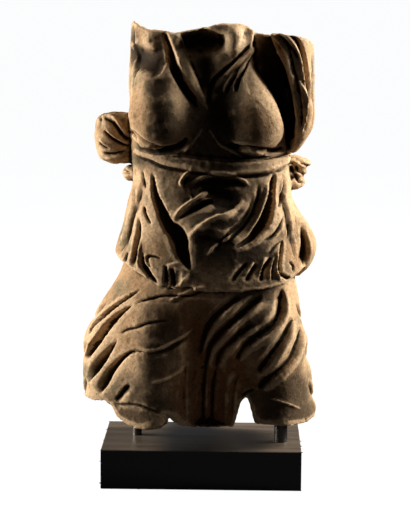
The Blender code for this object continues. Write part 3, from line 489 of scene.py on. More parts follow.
    def skirt_left(self) -> list[Stroke]:
        """The viewer's left thigh and the folds that sweep round the hip.

        Returns:
            The strokes, in the order in which they are added up.
        """
        return [
            swell([(-11.5, 30.2), (-13.0, 18.8), (-13.0, 7.2), (-12.4, -4.0)], 3.2, 12.0, HANGING_ENDS),
            swell([(0.9, 30.4), (0.9, 17.7), (2.0, -4.0)], -2.6, 7.0, HANGING_ENDS),
            channel([
                (-15.8, 32.9, 0.2), (-18.9, 30.8, 0.7), (-22.4, 28.4), (-25.3, 26.0), (-27.7, 23.7, 0.8),
                (-28.9, 21.2, 0.4),
            ], 1.4, 0.62),
            channel([
                (-17.5, 28.8, 0.1), (-19.9, 27.2, 0.5), (-23.3, 24.3, 0.9), (-26.2, 20.6),
                (-28.3, 17.5, 0.9), (-29.5, 14.9, 0.4),
            ], 2.6, 1.25),
            groove([
                (-21.0, 20.5, 0.2), (-23.5, 16.6, 0.7), (-25.7, 13.4), (-27.5, 11.1, 0.9),
                (-28.9, 8.9, 0.3),
            ], 2.3, 0.6, 2.3),
            groove([
                (-13.3, 17.5, 0.25), (-16.3, 17.5, 0.3), (-18.1, 16.6, 0.45), (-20.5, 14.4, 0.7),
                (-22.6, 11.8, 0.9), (-24.5, 8.7), (-26.2, 6.1),
            ], 2.5, 0.65, 2.0),
            groove([(-17.8, 8.9), (-19.7, 6.7), (-21.7, 4.2)], 1.0, 0.9),
            groove([(-17.1, 29.2), (-13.5, 30.4), (-9.7, 31.3), (-3.3, 31.4), (-0.1, 32.7)], 0.6, 0.45),
            groove([(-20.4, 21.5), (-18.6, 22.6), (-16.0, 23.2), (-13.0, 24.4), (-8.1, 25.2)], 0.6, 0.45),
            lip([
                (-16.3, 18.5), (-12.4, 18.0), (-9.6, 18.8), (-7.1, 20.1), (-3.7, 21.9), (-2.0, 23.8),
            ], 0.5, 0.6),
            groove([(-13.3, 17.3), (-9.5, 17.8), (-6.8, 19.1), (-3.5, 20.9)], 0.5, 0.8),
            lip([(-12.4, 9.8), (-8.8, 10.9), (-5.7, 12.5), (-3.2, 14.8)], 0.35, 0.8),
            lip([(-8.8, 30.0), (-4.6, 32.0), (0.4, 34.0)], 0.5, 0.7),
            groove([(-22.2, 3.6), (-19.8, 3.6), (-16.0, 3.8), (-13.0, 2.9), (-10.0, 1.6)], 0.5, 0.45),
        ]

    def skirt_right(self) -> list[Stroke]:
        """The viewer's right thigh, the folds across it and those that hang between the legs.

        Returns:
            The strokes, in the order in which they are added up.
        """
        crests = [
            [
                (20.7, 33.1), (20.6, 30.5), (20.0, 27.1), (18.5, 24.5), (16.4, 22.4),
                (13.4, 19.8), (11.1, 17.4), (9.4, 14.5),
            ],
            [(22.5, 25.3), (20.6, 21.4), (18.5, 18.0), (16.5, 14.3), (14.8, 11.4)],
            [
                (25.1, 23.3), (24.7, 20.4), (23.4, 17.5), (21.9, 15.2), (19.6, 12.8),
                (17.1, 10.2), (14.8, 7.2),
            ],
            [(15.6, 30.9), (13.3, 28.8), (10.2, 26.0), (6.4, 22.1), (3.9, 18.9), (2.6, 16.5), (1.6, 12.0)],
            [(13.4, 23.7), (10.5, 21.5), (7.8, 18.9), (5.7, 16.3), (4.1, 12.1)],
            [(10.2, 30.9), (7.7, 28.8), (4.6, 25.9), (2.6, 23.0), (1.1, 19.4), (0.0, 14.6)],
        ]
        weights = (1.5, 1.6, 1.6, 1.1, 0.8, 0.9)
        depths = (0.3, 0.15, 0.5, 0.4, 0.15, 0.35)
        first = [(-3.6, 19.5, 0.4), (-4.6, 8.0, 1.0), (-4.3, -2.0, 1.0)]
        last = [(9.6, 12.4, 0.4), (8.0, 7.5, 1.0), (7.4, -2.0, 1.0)]
        hanging = zip(between(first, last, len(depths)), depths)
        strokes = [
            swell([(16.2, 30.5), (18.3, 19.1), (20.0, 7.6), (20.4, -4.0)], 2.8, 9.0, HANGING_ENDS),
            lip([(15.9, 5.9), (20.0, 4.7), (23.8, 3.1)], 0.35, 0.4),
            groove([(13.2, 7.8), (11.3, 6.9), (9.7, 5.5)], 0.5, 0.5),
            *(groove(line, depth, 0.5, 1.6) for line, depth in hanging),
        ]
        for weight, crest in zip(weights, crests):
            strokes.append(groove(shifted(crest, -0.75, 0.5), weight, 0.6, 2.0))
            strokes.append(lip(crest, 0.55 * weight, 2.6, 0.6))
        return strokes

    def sleeve(self) -> list[Stroke]:
        """The folds that run down the sleeve.

        Returns:
            The strokes, in the order in which they are added up.
        """
        return [
            lip([
                (15.9, 97.3), (17.2, 96.3), (19.2, 94.2), (20.5, 91.9), (21.6, 87.1), (22.5, 83.5),
                (22.9, 80.3), (23.2, 76.1), (22.8, 71.8),
            ], 0.9, 0.7),
            lip([(17.0, 93.6), (18.5, 92.1), (19.6, 90.4), (20.3, 88.8)], 0.4, 0.5),
            groove([
                (17.2, 97.4), (19.1, 95.7), (20.4, 93.6), (21.3, 90.9), (22.0, 87.9), (23.5, 85.4),
            ], 1.2, 0.6),
            groove([(18.9, 96.3), (20.8, 94.2), (22.3, 92.4), (23.2, 90.5)], 0.9, 0.5),
            lip([
                (19.3, 97.2), (21.5, 95.1), (23.0, 92.6), (23.9, 89.6), (24.5, 86.2), (25.0, 83.9),
            ], 0.5, 0.5),
            groove([
                (20.2, 97.2), (22.1, 95.9), (23.6, 93.8), (24.5, 91.3), (24.9, 88.4), (25.6, 85.0),
                (26.3, 82.4), (26.1, 79.3), (25.8, 76.1), (24.7, 72.9),
            ], 1.6, 0.75),
            lip([
                (22.4, 87.5), (23.5, 85.2), (24.8, 82.9), (25.5, 80.3), (25.3, 77.1), (24.7, 74.4),
                (23.5, 71.8),
            ], 0.6, 0.5),
            lip([(23.8, 81.2), (25.1, 78.2)], 0.3, 0.4),
            groove([(22.2, 86.6), (23.3, 82.4), (24.0, 78.2), (24.1, 73.9)], 1.3, 0.7),
        ]

    def bunches(self) -> list[Stroke]:
        """The folds of the bunched cloth at both sides.

        Returns:
            The strokes, in the order in which they are added up.
        """
        return [
            lip([(-25.3, 76.9), (-23.6, 76.5), (-22.0, 75.3), (-20.4, 72.8), (-18.6, 71.1)], 0.6, 0.6),
            groove([(-25.0, 76.1), (-23.2, 75.4), (-22.0, 74.0), (-20.8, 72.3), (-19.0, 70.4)], 1.3, 0.9),
            lip([(-25.0, 73.5), (-23.2, 71.8), (-21.0, 70.4), (-18.9, 69.4)], 0.6, 0.45),
            groove([(-24.9, 72.9), (-23.5, 71.4), (-22.0, 70.3), (-20.3, 69.4), (-18.7, 69.0)], 1.2, 0.6),
            lip([(-26.2, 70.5), (-24.8, 69.4), (-23.2, 68.8), (-20.9, 68.6)], 0.5, 0.45),
            groove([(-26.5, 70.0), (-25.2, 68.9), (-23.7, 68.2)], 0.6, 0.4),
            groove([(-25.2, 67.3), (-23.4, 66.9), (-21.7, 67.1), (-19.5, 67.8)], 0.9, 0.5),
            lip([(-24.7, 65.9), (-22.3, 66.2), (-20.6, 66.7)], 0.5, 0.5),
            groove([(-25.8, 76.7), (-26.0, 75.1)], 0.5, 0.4),
            groove([(-20.7, 63.6), (-18.5, 62.6)], 0.5, 0.4),
            groove([(-20.5, 62.1), (-18.3, 61.9)], 0.5, 0.4),
            groove([(21.5, 66.2), (23.6, 63.1), (25.4, 62.0)], 0.9, 0.7),
            groove([(22.7, 67.0), (25.0, 64.8), (26.7, 63.8)], 0.9, 0.6),
            groove([(21.5, 64.5), (23.3, 61.3), (25.0, 59.8)], 0.8, 0.6),
        ]

    def back(self) -> list[Stroke]:
        """Plainer folds behind, seen from behind but with X as in front.

        Returns:
            The strokes, in the order in which they are added up.
        """
        strokes = [
            swell([(2.0, 98.0), (2.0, 70.0)], -1.2, 6.0),
            swell([(-9.0, 92.0), (-9.0, 80.0)], 1.0, 6.0),
            swell([(13.0, 92.0), (13.0, 80.0)], 1.0, 6.0),
            swell([(-11.0, 24.0), (-11.0, 8.0)], 1.6, 9.0),
            swell([(13.0, 24.0), (13.0, 8.0)], 1.6, 9.0),
        ]
        shoulders = [
            [(-13.0, 95.0, 0.4), (-5.0, 89.0), (7.0, 87.5), (19.0, 92.0, 0.4)],
            [(-16.0, 84.0, 0.4), (-7.0, 78.5), (5.0, 77.0), (14.0, 79.5, 0.3)],
        ]
        overfold = [
            [(-16.0, 60.0, 0.4), (-18.0, 51.0), (-21.0, 41.0)],
            [(-8.0, 59.0, 0.3), (-10.0, 50.0), (-11.0, 40.0)],
            [(1.0, 57.0, 0.3), (-0.5, 49.0), (-0.5, 40.0)],
            [(7.0, 60.0, 0.3), (9.5, 50.0), (10.0, 40.0)],
            [(15.0, 60.0, 0.4), (18.0, 50.0), (21.0, 41.0)],
        ]
        skirt = [
            [(-17.0, 37.0, 0.4), (-21.0, 18.0), (-23.0, -4.0)],
            [(-9.0, 37.0, 0.4), (-13.0, 20.0), (-14.0, -4.0)],
            [(-3.0, 37.0, 0.4), (-4.5, 22.0), (-8.0, 6.0, 0.4)],
            [(4.0, 37.0, 0.4), (4.5, 18.0), (2.5, -4.0)],
            [(12.0, 37.0, 0.4), (15.0, 22.0), (15.5, 8.0, 0.4)],
            [(18.0, 37.0, 0.4), (22.0, 18.0), (23.0, -4.0)],
        ]
        strokes += [groove(line, 0.8, 1.3, 3.0) for line in shoulders]
        strokes += [groove(line, 0.9, 1.1, 2.8) for line in overfold]
        strokes += [groove(line, 1.2, 1.2, 3.2) for line in skirt]
        return strokes

    def flank(self) -> list[Stroke]:
        """Folds on the two sides, drawn by depth and height.

        Returns:
            The strokes, in the order in which they are added up.
        """
        hip_first = [(-7.0, 31.0), (0.0, 26.0), (10.0, 22.0)]
        hip_last = [(-7.0, 11.0), (0.0, 6.0), (10.0, 2.0)]
        waist_first = [(-9.0, 62.0), (-9.0, 52.0), (-11.0, 42.0)]
        waist_last = [(9.0, 60.0), (10.0, 52.0), (12.0, 42.0)]
        arm_first = [(-3.0, 97.0, 0.5), (-6.5, 84.0, 1.0), (-4.0, 71.0, 0.4)]
        arm_last = [(6.0, 93.0, 0.4), (5.0, 84.0, 0.8), (1.0, 73.0, 0.4)]
        return [
            *(groove(line, 1.0, 1.0, 2.6) for line in between(hip_first, hip_last, 3)),
            *(groove(line, 0.8, 1.0, 2.4) for line in between(waist_first, waist_last, 3)),
            *(groove(line, 0.7, 1.0, 2.6) for line in between(arm_first, arm_last, 3)),
        ]


def new_object(name: str, mesh: bpy.types.ID) -> bpy.types.Object:
    """An object for a mesh or curve, in the scene.

    Args:
        name: The object's name.
        mesh: What it shows.

    Returns:
        The object.
    """
    made = bpy.data.objects.new(name, mesh)
    bpy.context.scene.collection.objects.link(made)
    return made


def evaluated_mesh(source: bpy.types.Object) -> bpy.types.Mesh:
    """The mesh of an object with its modifiers carried out."""
    bpy.context.view_layer.update()
    return bpy.data.meshes.new_from_object(source.evaluated_get(bpy.context.evaluated_depsgraph_get()))


def bake(source: bpy.types.Object) -> None:
    """Carry out an object's modifiers and keep the result as its own mesh.

    Args:
        source: The object, which loses its modifiers.
    """
    mesh = evaluated_mesh(source)
    source.modifiers.clear()
    source.data = mesh


def mesh_of(bm: bmesh.types.BMesh, name: str) -> bpy.types.Mesh:
    """A mesh from an edit mesh, which is freed.

    Args:
        bm: The edit mesh.
        name: The mesh's name.

    Returns:
        The mesh.
    """
    mesh = bpy.data.meshes.new(name)
    bm.to_mesh(mesh)
    bm.free()
    return mesh


@dataclass(frozen=True)
class Skin:
    """The corners of a mesh and which of them are joined."""

    place: np.ndarray
    joined: np.ndarray

    @classmethod
    def read(cls, mesh: bpy.types.Mesh) -> "Skin":
        """The skin of a mesh.

        Args:
            mesh: The mesh, left as it is.

        Returns:
            The skin.
        """
        place = np.empty(len(mesh.vertices) * 3, dtype=np.float32)
        joined = np.empty(len(mesh.edges) * 2, dtype=np.int32)
        mesh.vertices.foreach_get("co", place)
        mesh.edges.foreach_get("vertices", joined)
        return cls(place.reshape(-1, 3).astype(float), joined.reshape(-1, 2))

    def softened(self, rounds: int, share: np.ndarray | float = 1.0) -> np.ndarray:
        """The corners drawn towards their neighbours, round after round.

        Args:
            rounds: How many times.
            share: How far each corner takes part, from 0 to 1.

        Returns:
            The new places, one a row.
        """
        first, second = self.joined[:, 0], self.joined[:, 1]
        count = len(self.place)
        links = np.bincount(first, minlength=count) + np.bincount(second, minlength=count)
        links = np.maximum(links, 1)
        place = self.place.copy()
        for _ in range(rounds):
            for axis in range(3):
                values = place[:, axis]
                total = np.bincount(first, values[second], count) + np.bincount(second, values[first], count)
                place[:, axis] = values + share * (total / links - values)
        return place


class NodePlan:
    """Builds a node tree node by node."""

    def __init__(self, tree: bpy.types.NodeTree) -> None:
        """Keep the tree to build in."""
        self.tree = tree

    def add(self, kind: str, inputs: dict | None = None, **settings: object) -> bpy.types.Node:
        """A new node.

        Args:
            kind: The node's type.
            inputs: A value or a socket for each input, by the input's name or number.
            settings: The node's own properties.

        Returns:
            The node.
        """
        node = self.tree.nodes.new(kind)
        for name, value in settings.items():
            setattr(node, name, value)
        self.feed(node, inputs or {})
        return node

    def feed(self, node: bpy.types.Node, inputs: dict) -> None:
        """Set or link a node's inputs, by their names or numbers.

        Args:
            node: The node.
            inputs: A value or a socket for each input.
        """
        for name, value in inputs.items():
            if isinstance(value, Socket):
                self.tree.links.new(value, node.inputs[name])
            else:
                node.inputs[name].default_value = value

    def math(self, operation: str, *values: float | Socket) -> Socket:
        """The outcome of a sum on numbers."""
        return self.add("ShaderNodeMath", dict(enumerate(values)), operation=operation).outputs[0]

    def times(self, first: float | Socket, second: float | Socket) -> Socket:
        """Two numbers multiplied."""
        return self.math("MULTIPLY", first, second)

    def plus(self, first: float | Socket, second: float | Socket) -> Socket:
        """Two numbers added."""
        return self.math("ADD", first, second)

    def inverse(self, value: Socket) -> Socket:
        """What a value leaves of 1."""
        return self.math("SUBTRACT", 1.0, value)

    def ranged(self, value: Socket, low: float, high: float) -> Socket:
        """A value's place between two limits, from 0 to 1."""
        spread = {"Value": value, "From Min": low, "From Max": high}
        return self.add("ShaderNodeMapRange", spread, interpolation_type="SMOOTHSTEP").outputs[0]

    def mix(
        self, share: float | Socket, first: Colour | Socket, second: Colour | Socket, blend: str = "MIX"
    ) -> Socket:
        """Two colours mixed by a share."""
        made = self.add("ShaderNodeMix", {0: share, 6: first, 7: second}, data_type="RGBA", blend_type=blend)
        return made.outputs[2]

    def socket(
        self, name: str, kind: str = "NodeSocketFloat", way: str = "INPUT", value: object = None
    ) -> object:
        """A named input or output of the tree.

        Args:
            name: The socket's name.
            kind: Its type.
            way: Whether it leads into the tree or out of it.
            value: Its value where nothing is linked to it.

        Returns:
            The socket.
        """
        made = self.tree.interface.new_socket(name, in_out=way, socket_type=kind)
        if value is not None:
            made.default_value = value
        return made

    def settle(self, geometry: Socket, finish: Socket) -> bpy.types.NodeTree:
        """End a Geometry Nodes tree in realised instances and its material.

        Args:
            geometry: What the tree made.
            finish: The material's socket.

        Returns:
            The tree.
        """
        solid = self.add("GeometryNodeRealizeInstances", {"Geometry": geometry}).outputs[0]
        dressed = self.add("GeometryNodeSetMaterial", {"Geometry": solid, "Material": finish}).outputs[0]
        self.add("NodeGroupOutput", {"Geometry": dressed})
        return self.tree


def cloud_group() -> bpy.types.NodeTree:
    """A shared mask of soft clouds, of a given size in metres.

    Returns:
        The group, which puts out the mask.
    """
    plan = NodePlan(bpy.data.node_groups.new("cloud_mask", "ShaderNodeTree"))
    for name, value in {"Size": 0.03, "Detail": 4.0, "Seed": 0.0, "Low": 0.4, "High": 0.6}.items():
        plan.socket(name, value=value)
    plan.socket("Stretch", "NodeSocketVector", value=(1.0, 1.0, 1.0))
    plan.socket("Mask", way="OUTPUT")
    given = plan.add("NodeGroupInput").outputs
    place = plan.add("ShaderNodeTexCoord").outputs["Object"]
    spread = plan.add("ShaderNodeMapping", {"Vector": place, "Scale": given["Stretch"]}).outputs[0]
    scale = plan.math("DIVIDE", 1.0, given["Size"])
    texture = {"Vector": spread, "W": given["Seed"], "Scale": scale, "Detail": given["Detail"]}
    cloud = plan.add("ShaderNodeTexNoise", texture, noise_dimensions="4D").outputs[0]
    limits = {"Value": cloud, "From Min": given["Low"], "From Max": given["High"]}
    mask = plan.add("ShaderNodeMapRange", limits, interpolation_type="SMOOTHSTEP").outputs[0]
    plan.add("NodeGroupOutput", {"Mask": mask})
    return plan.tree


def grain_group() -> bpy.types.NodeTree:
    """A shared grain of bumps and pores, of a given size in metres.

    Returns:
        The group, which puts out the grain's height and a mask of its pores.
    """
    plan = NodePlan(bpy.data.node_groups.new("surface_grain", "ShaderNodeTree"))
    for name, value in {"Size": 0.002, "Pores": 0.3, "Seed": 0.0}.items():
        plan.socket(name, value=value)
    plan.socket("Height", way="OUTPUT")
    plan.socket("Pore Mask", way="OUTPUT")
    given = plan.add("NodeGroupInput").outputs
    place = plan.add("ShaderNodeTexCoord").outputs["Object"]
    scale = plan.math("DIVIDE", 1.0, given["Size"])
    bumps = {"Vector": place, "W": given["Seed"], "Scale": scale, "Detail": 5.0, "Roughness": 0.65}
    height = plan.add("ShaderNodeTexNoise", bumps, noise_dimensions="4D").outputs[0]
    cells = {"Vector": place, "W": given["Seed"], "Scale": plan.times(scale, 0.5)}
    away = plan.add("ShaderNodeTexVoronoi", cells, voronoi_dimensions="4D").outputs["Distance"]
    pore = plan.inverse(plan.ranged(away, *PORE_RANGE))
    lowered = plan.math("SUBTRACT", height, plan.times(pore, given["Pores"]))
    plan.add("NodeGroupOutput", {"Height": lowered, "Pore Mask": pore})
    return plan.tree


@dataclass
class Workshop:
    """The node groups that several finishes share."""

    cloud: bpy.types.NodeTree = field(default_factory=cloud_group)
    grain: bpy.types.NodeTree = field(default_factory=grain_group)

    def clouds(self, plan: NodePlan, **values: object) -> Socket:
        """A cloud mask placed in a material.

        Args:
            plan: The plan of the tree to build in.
            values: The group's own values, by name.

        Returns:
            The mask's socket.
        """
        node = plan.add("ShaderNodeGroup", node_tree=self.cloud)
        for name, value in values.items():
            node.inputs[name].default_value = value
        return node.outputs["Mask"]

    def grains(self, plan: NodePlan, **values: float) -> bpy.types.Node:
        """A grain placed in a material.

        Args:
            plan: The plan of the tree to build in.
            values: The group's own values, by name.

        Returns:
            The group's node.
        """
        node = plan.add("ShaderNodeGroup", node_tree=self.grain)
        for name, value in values.items():
            node.inputs[name].default_value = value
        return node


def start_material(name: str, viewport: Colour) -> tuple[bpy.types.Material, NodePlan, bpy.types.Node]:
    """A new material with its plan and its shader.

    Args:
        name: The material's name.
        viewport: The colour that stands for it in the viewport.

    Returns:
        The material, the plan of its tree and its Principled BSDF.
    """
    made = bpy.data.materials.new(name)
    made.use_nodes = True
    made.diffuse_color = viewport
    return made, NodePlan(made.node_tree), made.node_tree.nodes["Principled BSDF"]


@dataclass(frozen=True)
class Patch:
    """A patch of another colour on the stone with a torn rim, for stains and for painted shade and light: its
    middle and reach in metres, colour and strength.
    """

    middle: Point
    reach: Point
    colour: Colour
    strength: float
    seed: float
    tear: float = 0.5
    tear_size: float = 0.02
    rim: Pair = (0.6, 1.35)

    def mask(self, plan: NodePlan, shop: Workshop) -> Socket:
        """How much of the patch's colour each place takes.

        Args:
            plan: The plan of the tree to build in.
            shop: The shared node groups.

        Returns:
            The share, from 0 to the patch's strength.
        """
        place = plan.add("ShaderNodeTexCoord").outputs["Object"]
        off = plan.add("ShaderNodeVectorMath", {0: place, 1: self.middle}, operation="SUBTRACT").outputs[0]
        spread = plan.add("ShaderNodeVectorMath", {0: off, 1: self.reach}, operation="DIVIDE").outputs[0]
        away = plan.add("ShaderNodeVectorMath", {0: spread}, operation="LENGTH").outputs["Value"]
        torn = shop.clouds(plan, Size=self.tear_size, Seed=self.seed, Low=0.2, High=0.8)
        away = plan.plus(away, plan.times(torn, self.tear))
        near = plan.inverse(plan.ranged(away, *self.rim))
        return plan.times(near, self.strength)


@dataclass(frozen=True)
class SchistFinish:
    """Weathered warm schist in tan and brown patches, its crests lighter with wear and a painted highlight,
    its hollows dark with grime and painted shade, and its front patched with stains, painted shade and a
    painted light.
    """

    wear_and_sheen: Colour = (0.54, 0.370, 0.215, 1.0)
    ochre: Colour = (0.32, 0.195, 0.100, 1.0)
    grey: Colour = (0.17, 0.135, 0.080, 1.0)
    soil_and_shade: Colour = (0.016, 0.010, 0.005, 1.0)
    grain_shaded: Colour = (0.55, 0.53, 0.50, 1.0)
    grain_lit: Colour = (1.25, 1.25, 1.25, 1.0)
    dull: Colour = (0.78, 0.78, 0.78, 1.0)
    smooth: Colour = (0.52, 0.52, 0.52, 1.0)
    shine: float = 0.06
    hollow_range: Pair = (-1.7, -0.15)
    crease_range: Pair = (-0.22, -0.02)
    raised_range: Pair = (0.04, 0.20)
    grain_light_range: Pair = (0.15, 0.7)
    grime_and_shade_share: float = 0.96
    crest_highlight_share: float = 0.75
    speck_share: float = 0.5
    coarse_share: float = 2.0
    earth: Patch = Patch((0.006, -0.045, 0.095), (0.042, 0.060, 0.085), RUST, 0.85, 3.0)
    # Patches placed where the figure lies in shade between the side lights: partly real stains and partly
    # painted shade. The black patch behind the sleeve is painted shade in that recess, and the pale one at
    # the right of the neck is painted light.
    stain_shade_and_light_patches: tuple[Patch, ...] = (
        Patch((0.014, -0.050, 0.195), (0.052, 0.060, 0.062), DARK, 0.80, 13.0),
        Patch((0.010, -0.045, 0.266), (0.030, 0.050, 0.034), DARK, 0.85, 14.0),
        Patch((-0.030, -0.055, 0.272), (0.015, 0.050, 0.022), DARK_GREEN, 0.80, 15.0),
        Patch((-0.054, -0.030, 0.333), (0.008, 0.060, 0.016), DARK, 0.85, 16.0),
        Patch((-0.027, -0.050, 0.122), (0.024, 0.050, 0.022), DARK, 0.30, 17.0),
        Patch((-0.003, -0.035, 0.334), (0.024, 0.050, 0.010), DARK, 0.90, 18.0),
        Patch((0.052, 0.008, 0.310), (0.026, 0.032, 0.066), SHADE_BLACK, 0.97, 19.0),
        Patch((0.009, -0.050, 0.217), (0.034, 0.060, 0.022), SHADE_BLACK, 0.75, 20.0),
        Patch((-0.050, -0.045, 0.057), (0.036, 0.060, 0.036), DARK, 0.85, 21.0),
        Patch((0.066, -0.045, 0.062), (0.040, 0.060, 0.046), DARK, 0.90, 22.0),
        Patch((-0.046, -0.030, 0.320), (0.022, 0.060, 0.016), DARK, 0.95, 23.0),
        Patch((-0.032, -0.050, 0.302), (0.014, 0.060, 0.044), DARK, 0.95, 24.0),
        Patch((0.015, -0.050, 0.289), (0.018, 0.060, 0.034), SHADE_BLACK, 0.90, 25.0),
        Patch((0.026, -0.030, 0.336), (0.020, 0.060, 0.026), PAINTED_LIGHT, 0.80, 26.0),
        Patch((0.018, -0.050, 0.202), (0.026, 0.060, 0.040), SHADE_BLACK, 0.85, 27.0),
        Patch((0.041, -0.050, 0.190), (0.022, 0.060, 0.030), DARK, 0.80, 28.0),
        Patch((0.041, -0.050, 0.140), (0.024, 0.060, 0.040), DARK, 0.90, 29.0),
        Patch((-0.026, -0.050, 0.246), (0.036, 0.060, 0.016), SHADE_BLACK, 0.92, 30.0),
        Patch((0.010, -0.050, 0.176), (0.044, 0.060, 0.024), SHADE_BLACK, 0.65, 33.0),
        Patch((0.033, -0.050, 0.243), (0.028, 0.060, 0.018), DARK, 0.70, 31.0),
        Patch((-0.030, -0.050, 0.104), (0.020, 0.060, 0.056), DARK, 0.75, 32.0),
    )

    def build(self, shop: Workshop) -> bpy.types.Material:
        """The material, on Object coordinates and the stone's own relief and edge attributes.

        Args:
            shop: The shared node groups.

        Returns:
            The material.
        """
        made, plan, shader = start_material("schist", self.ochre)
        relief = plan.add("ShaderNodeAttribute", attribute_name="relief").outputs["Fac"]
        edge = plan.add("ShaderNodeAttribute", attribute_name="edge").outputs["Fac"]
        patches = shop.clouds(plan, Size=0.045, Seed=1.0, Low=0.38, High=0.62)
        colour = plan.mix(patches, self.ochre, self.wear_and_sheen)
        colour = plan.mix(shop.clouds(plan, Size=0.028, Seed=2.0, Low=0.50, High=0.70), colour, self.grey)
        earthy = self.earth.mask(plan, shop)
        colour = plan.mix(earthy, colour, self.earth.colour)
        for patch in self.stain_shade_and_light_patches:
            colour = plan.mix(patch.mask(plan, shop), colour, patch.colour)
        # Painted shade, with some grime: the carving's hollows and creases darken nearly to black.
        hollow = plan.inverse(plan.ranged(relief, *self.hollow_range))
        hollow = plan.times(hollow, plan.inverse(earthy))
        crease = plan.inverse(plan.ranged(edge, *self.crease_range))
        grime_and_shade = plan.times(plan.math("MAXIMUM", hollow, crease), self.grime_and_shade_share)
        colour = plan.mix(grime_and_shade, colour, self.soil_and_shade)
        # Painted highlight, with some wear: the crests lighten to tan and are smoother.
        raised = plan.times(plan.ranged(edge, *self.raised_range), self.crest_highlight_share)
        colour = plan.mix(raised, colour, self.wear_and_sheen)
        fine = shop.grains(plan, Size=0.0018, Pores=0.35, Seed=4.0)
        coarse = shop.grains(plan, Size=0.006, Pores=0.5, Seed=5.0)
        speck = plan.times(coarse.outputs["Pore Mask"], self.speck_share)
        colour = plan.mix(speck, colour, self.soil_and_shade)
        # Painted light and shade on the grain, with speckled tone: darker in its low spots and lighter on its
        # high ones.
        shade = plan.ranged(fine.outputs["Height"], *self.grain_light_range)
        colour = plan.mix(1.0, colour, plan.mix(shade, self.grain_shaded, self.grain_lit), "MULTIPLY")
        gloss = plan.mix(raised, self.dull, self.smooth)
        height = plan.plus(fine.outputs["Height"], plan.times(coarse.outputs["Height"], self.coarse_share))
        bump = plan.add("ShaderNodeBump", {"Height": height, "Strength": 0.5, "Distance": 0.0007}).outputs[0]
        plan.feed(shader, {"Base Color": colour, "Roughness": gloss, "Normal": bump})
        plan.feed(shader, {"Specular IOR Level": self.shine})
        return made


@dataclass(frozen=True)
class LacquerFinish:
    """Glossy black lacquer on wood, with a faint grain along its length and a dusty top, brown with wear and
    a painted reflection of the stone, and darker in its middle as a painted shadow of the figure.
    """

    top: float
    black: Colour = (0.003, 0.004, 0.006, 1.0)
    dust: Colour = (0.030, 0.030, 0.034, 1.0)
    worn_and_reflected_brown: Colour = (0.150, 0.112, 0.078, 1.0)
    shadow_middle: float = -0.008
    shadow_reach: Pair = (0.010, 0.034)
    shadow_least: float = 0.08
    worn_and_reflected_least: float = 0.45
    worn_streaks: float = 0.4
    dust_share: float = 0.5
    rough: float = 0.10
    rough_film: float = 0.10
    rough_streaks: float = 0.08
    rough_top: float = 0.22
    coat: float = 0.4
    coat_rough: float = 0.06
    skin: float = 0.0004

    def build(self, shop: Workshop) -> bpy.types.Material:
        """The material, on Object coordinates.

        Args:
            shop: The shared node groups.

        Returns:
            The material.
        """
        made, plan, shader = start_material("black_lacquer", self.black)
        streaks = shop.clouds(plan, Size=0.004, Seed=6.0, Low=0.35, High=0.75, Stretch=(0.06, 1.0, 1.0))
        specks = shop.clouds(plan, Size=0.0015, Seed=7.0, Low=0.66, High=0.74)
        film = shop.clouds(plan, Size=0.05, Seed=8.0, Low=0.3, High=0.8)
        place = plan.add("ShaderNodeTexCoord").outputs["Object"]
        parts = plan.add("ShaderNodeSeparateXYZ", {0: place}).outputs
        upper = plan.ranged(parts["Z"], self.top - 2 * self.skin, self.top - self.skin)
        # The top is brown, partly a worn film and partly a painted reflection of the stone; it stays darker
        # in the middle as a painted shadow of the figure.
        wear_and_sheen = plan.times(upper, plan.plus(self.worn_and_reflected_least, plan.times(streaks, self.worn_streaks)))
        off = plan.math("ABSOLUTE", plan.math("SUBTRACT", parts["X"], self.shadow_middle), 0.0)
        wear_and_sheen = plan.times(wear_and_sheen, plan.plus(self.shadow_least, plan.ranged(off, *self.shadow_reach)))
        colour = plan.mix(plan.times(specks, self.dust_share), self.black, self.dust)
        colour = plan.mix(wear_and_sheen, colour, self.worn_and_reflected_brown)
        rough = plan.plus(self.rough, plan.times(film, self.rough_film))
        rough = plan.plus(rough, plan.times(streaks, self.rough_streaks))
        rough = plan.plus(rough, plan.times(upper, self.rough_top))
        relief = {"Height": streaks, "Strength": 0.05, "Distance": 0.0004}
        bump = plan.add("ShaderNodeBump", relief).outputs[0]
        coat = plan.times(self.coat, plan.inverse(upper))
        plan.feed(shader, {"Base Color": colour, "Roughness": rough, "Normal": bump})
        plan.feed(shader, {"Coat Weight": coat, "Coat Roughness": self.coat_rough})
        return made


@dataclass(frozen=True)
class ChipFinish:
    """Dull brown wood where the lacquer is knocked off."""

    wood: Colour = (0.11, 0.065, 0.035, 1.0)
    dark: Colour = (0.03, 0.02, 0.014, 1.0)
    rough: float = 0.85

    def build(self, shop: Workshop) -> bpy.types.Material:
        """The material, on Object coordinates.

        Args:
            shop: The shared node groups.

        Returns:
            The material.
        """
        made, plan, shader = start_material("bare_wood_chips", self.wood)
        streaks = shop.clouds(plan, Size=0.001, Seed=9.0, Low=0.35, High=0.65, Stretch=(0.1, 1.0, 1.0))
        colour = plan.mix(streaks, self.wood, self.dark)
        plan.feed(shader, {"Base Color": colour, "Roughness": self.rough})
        return made


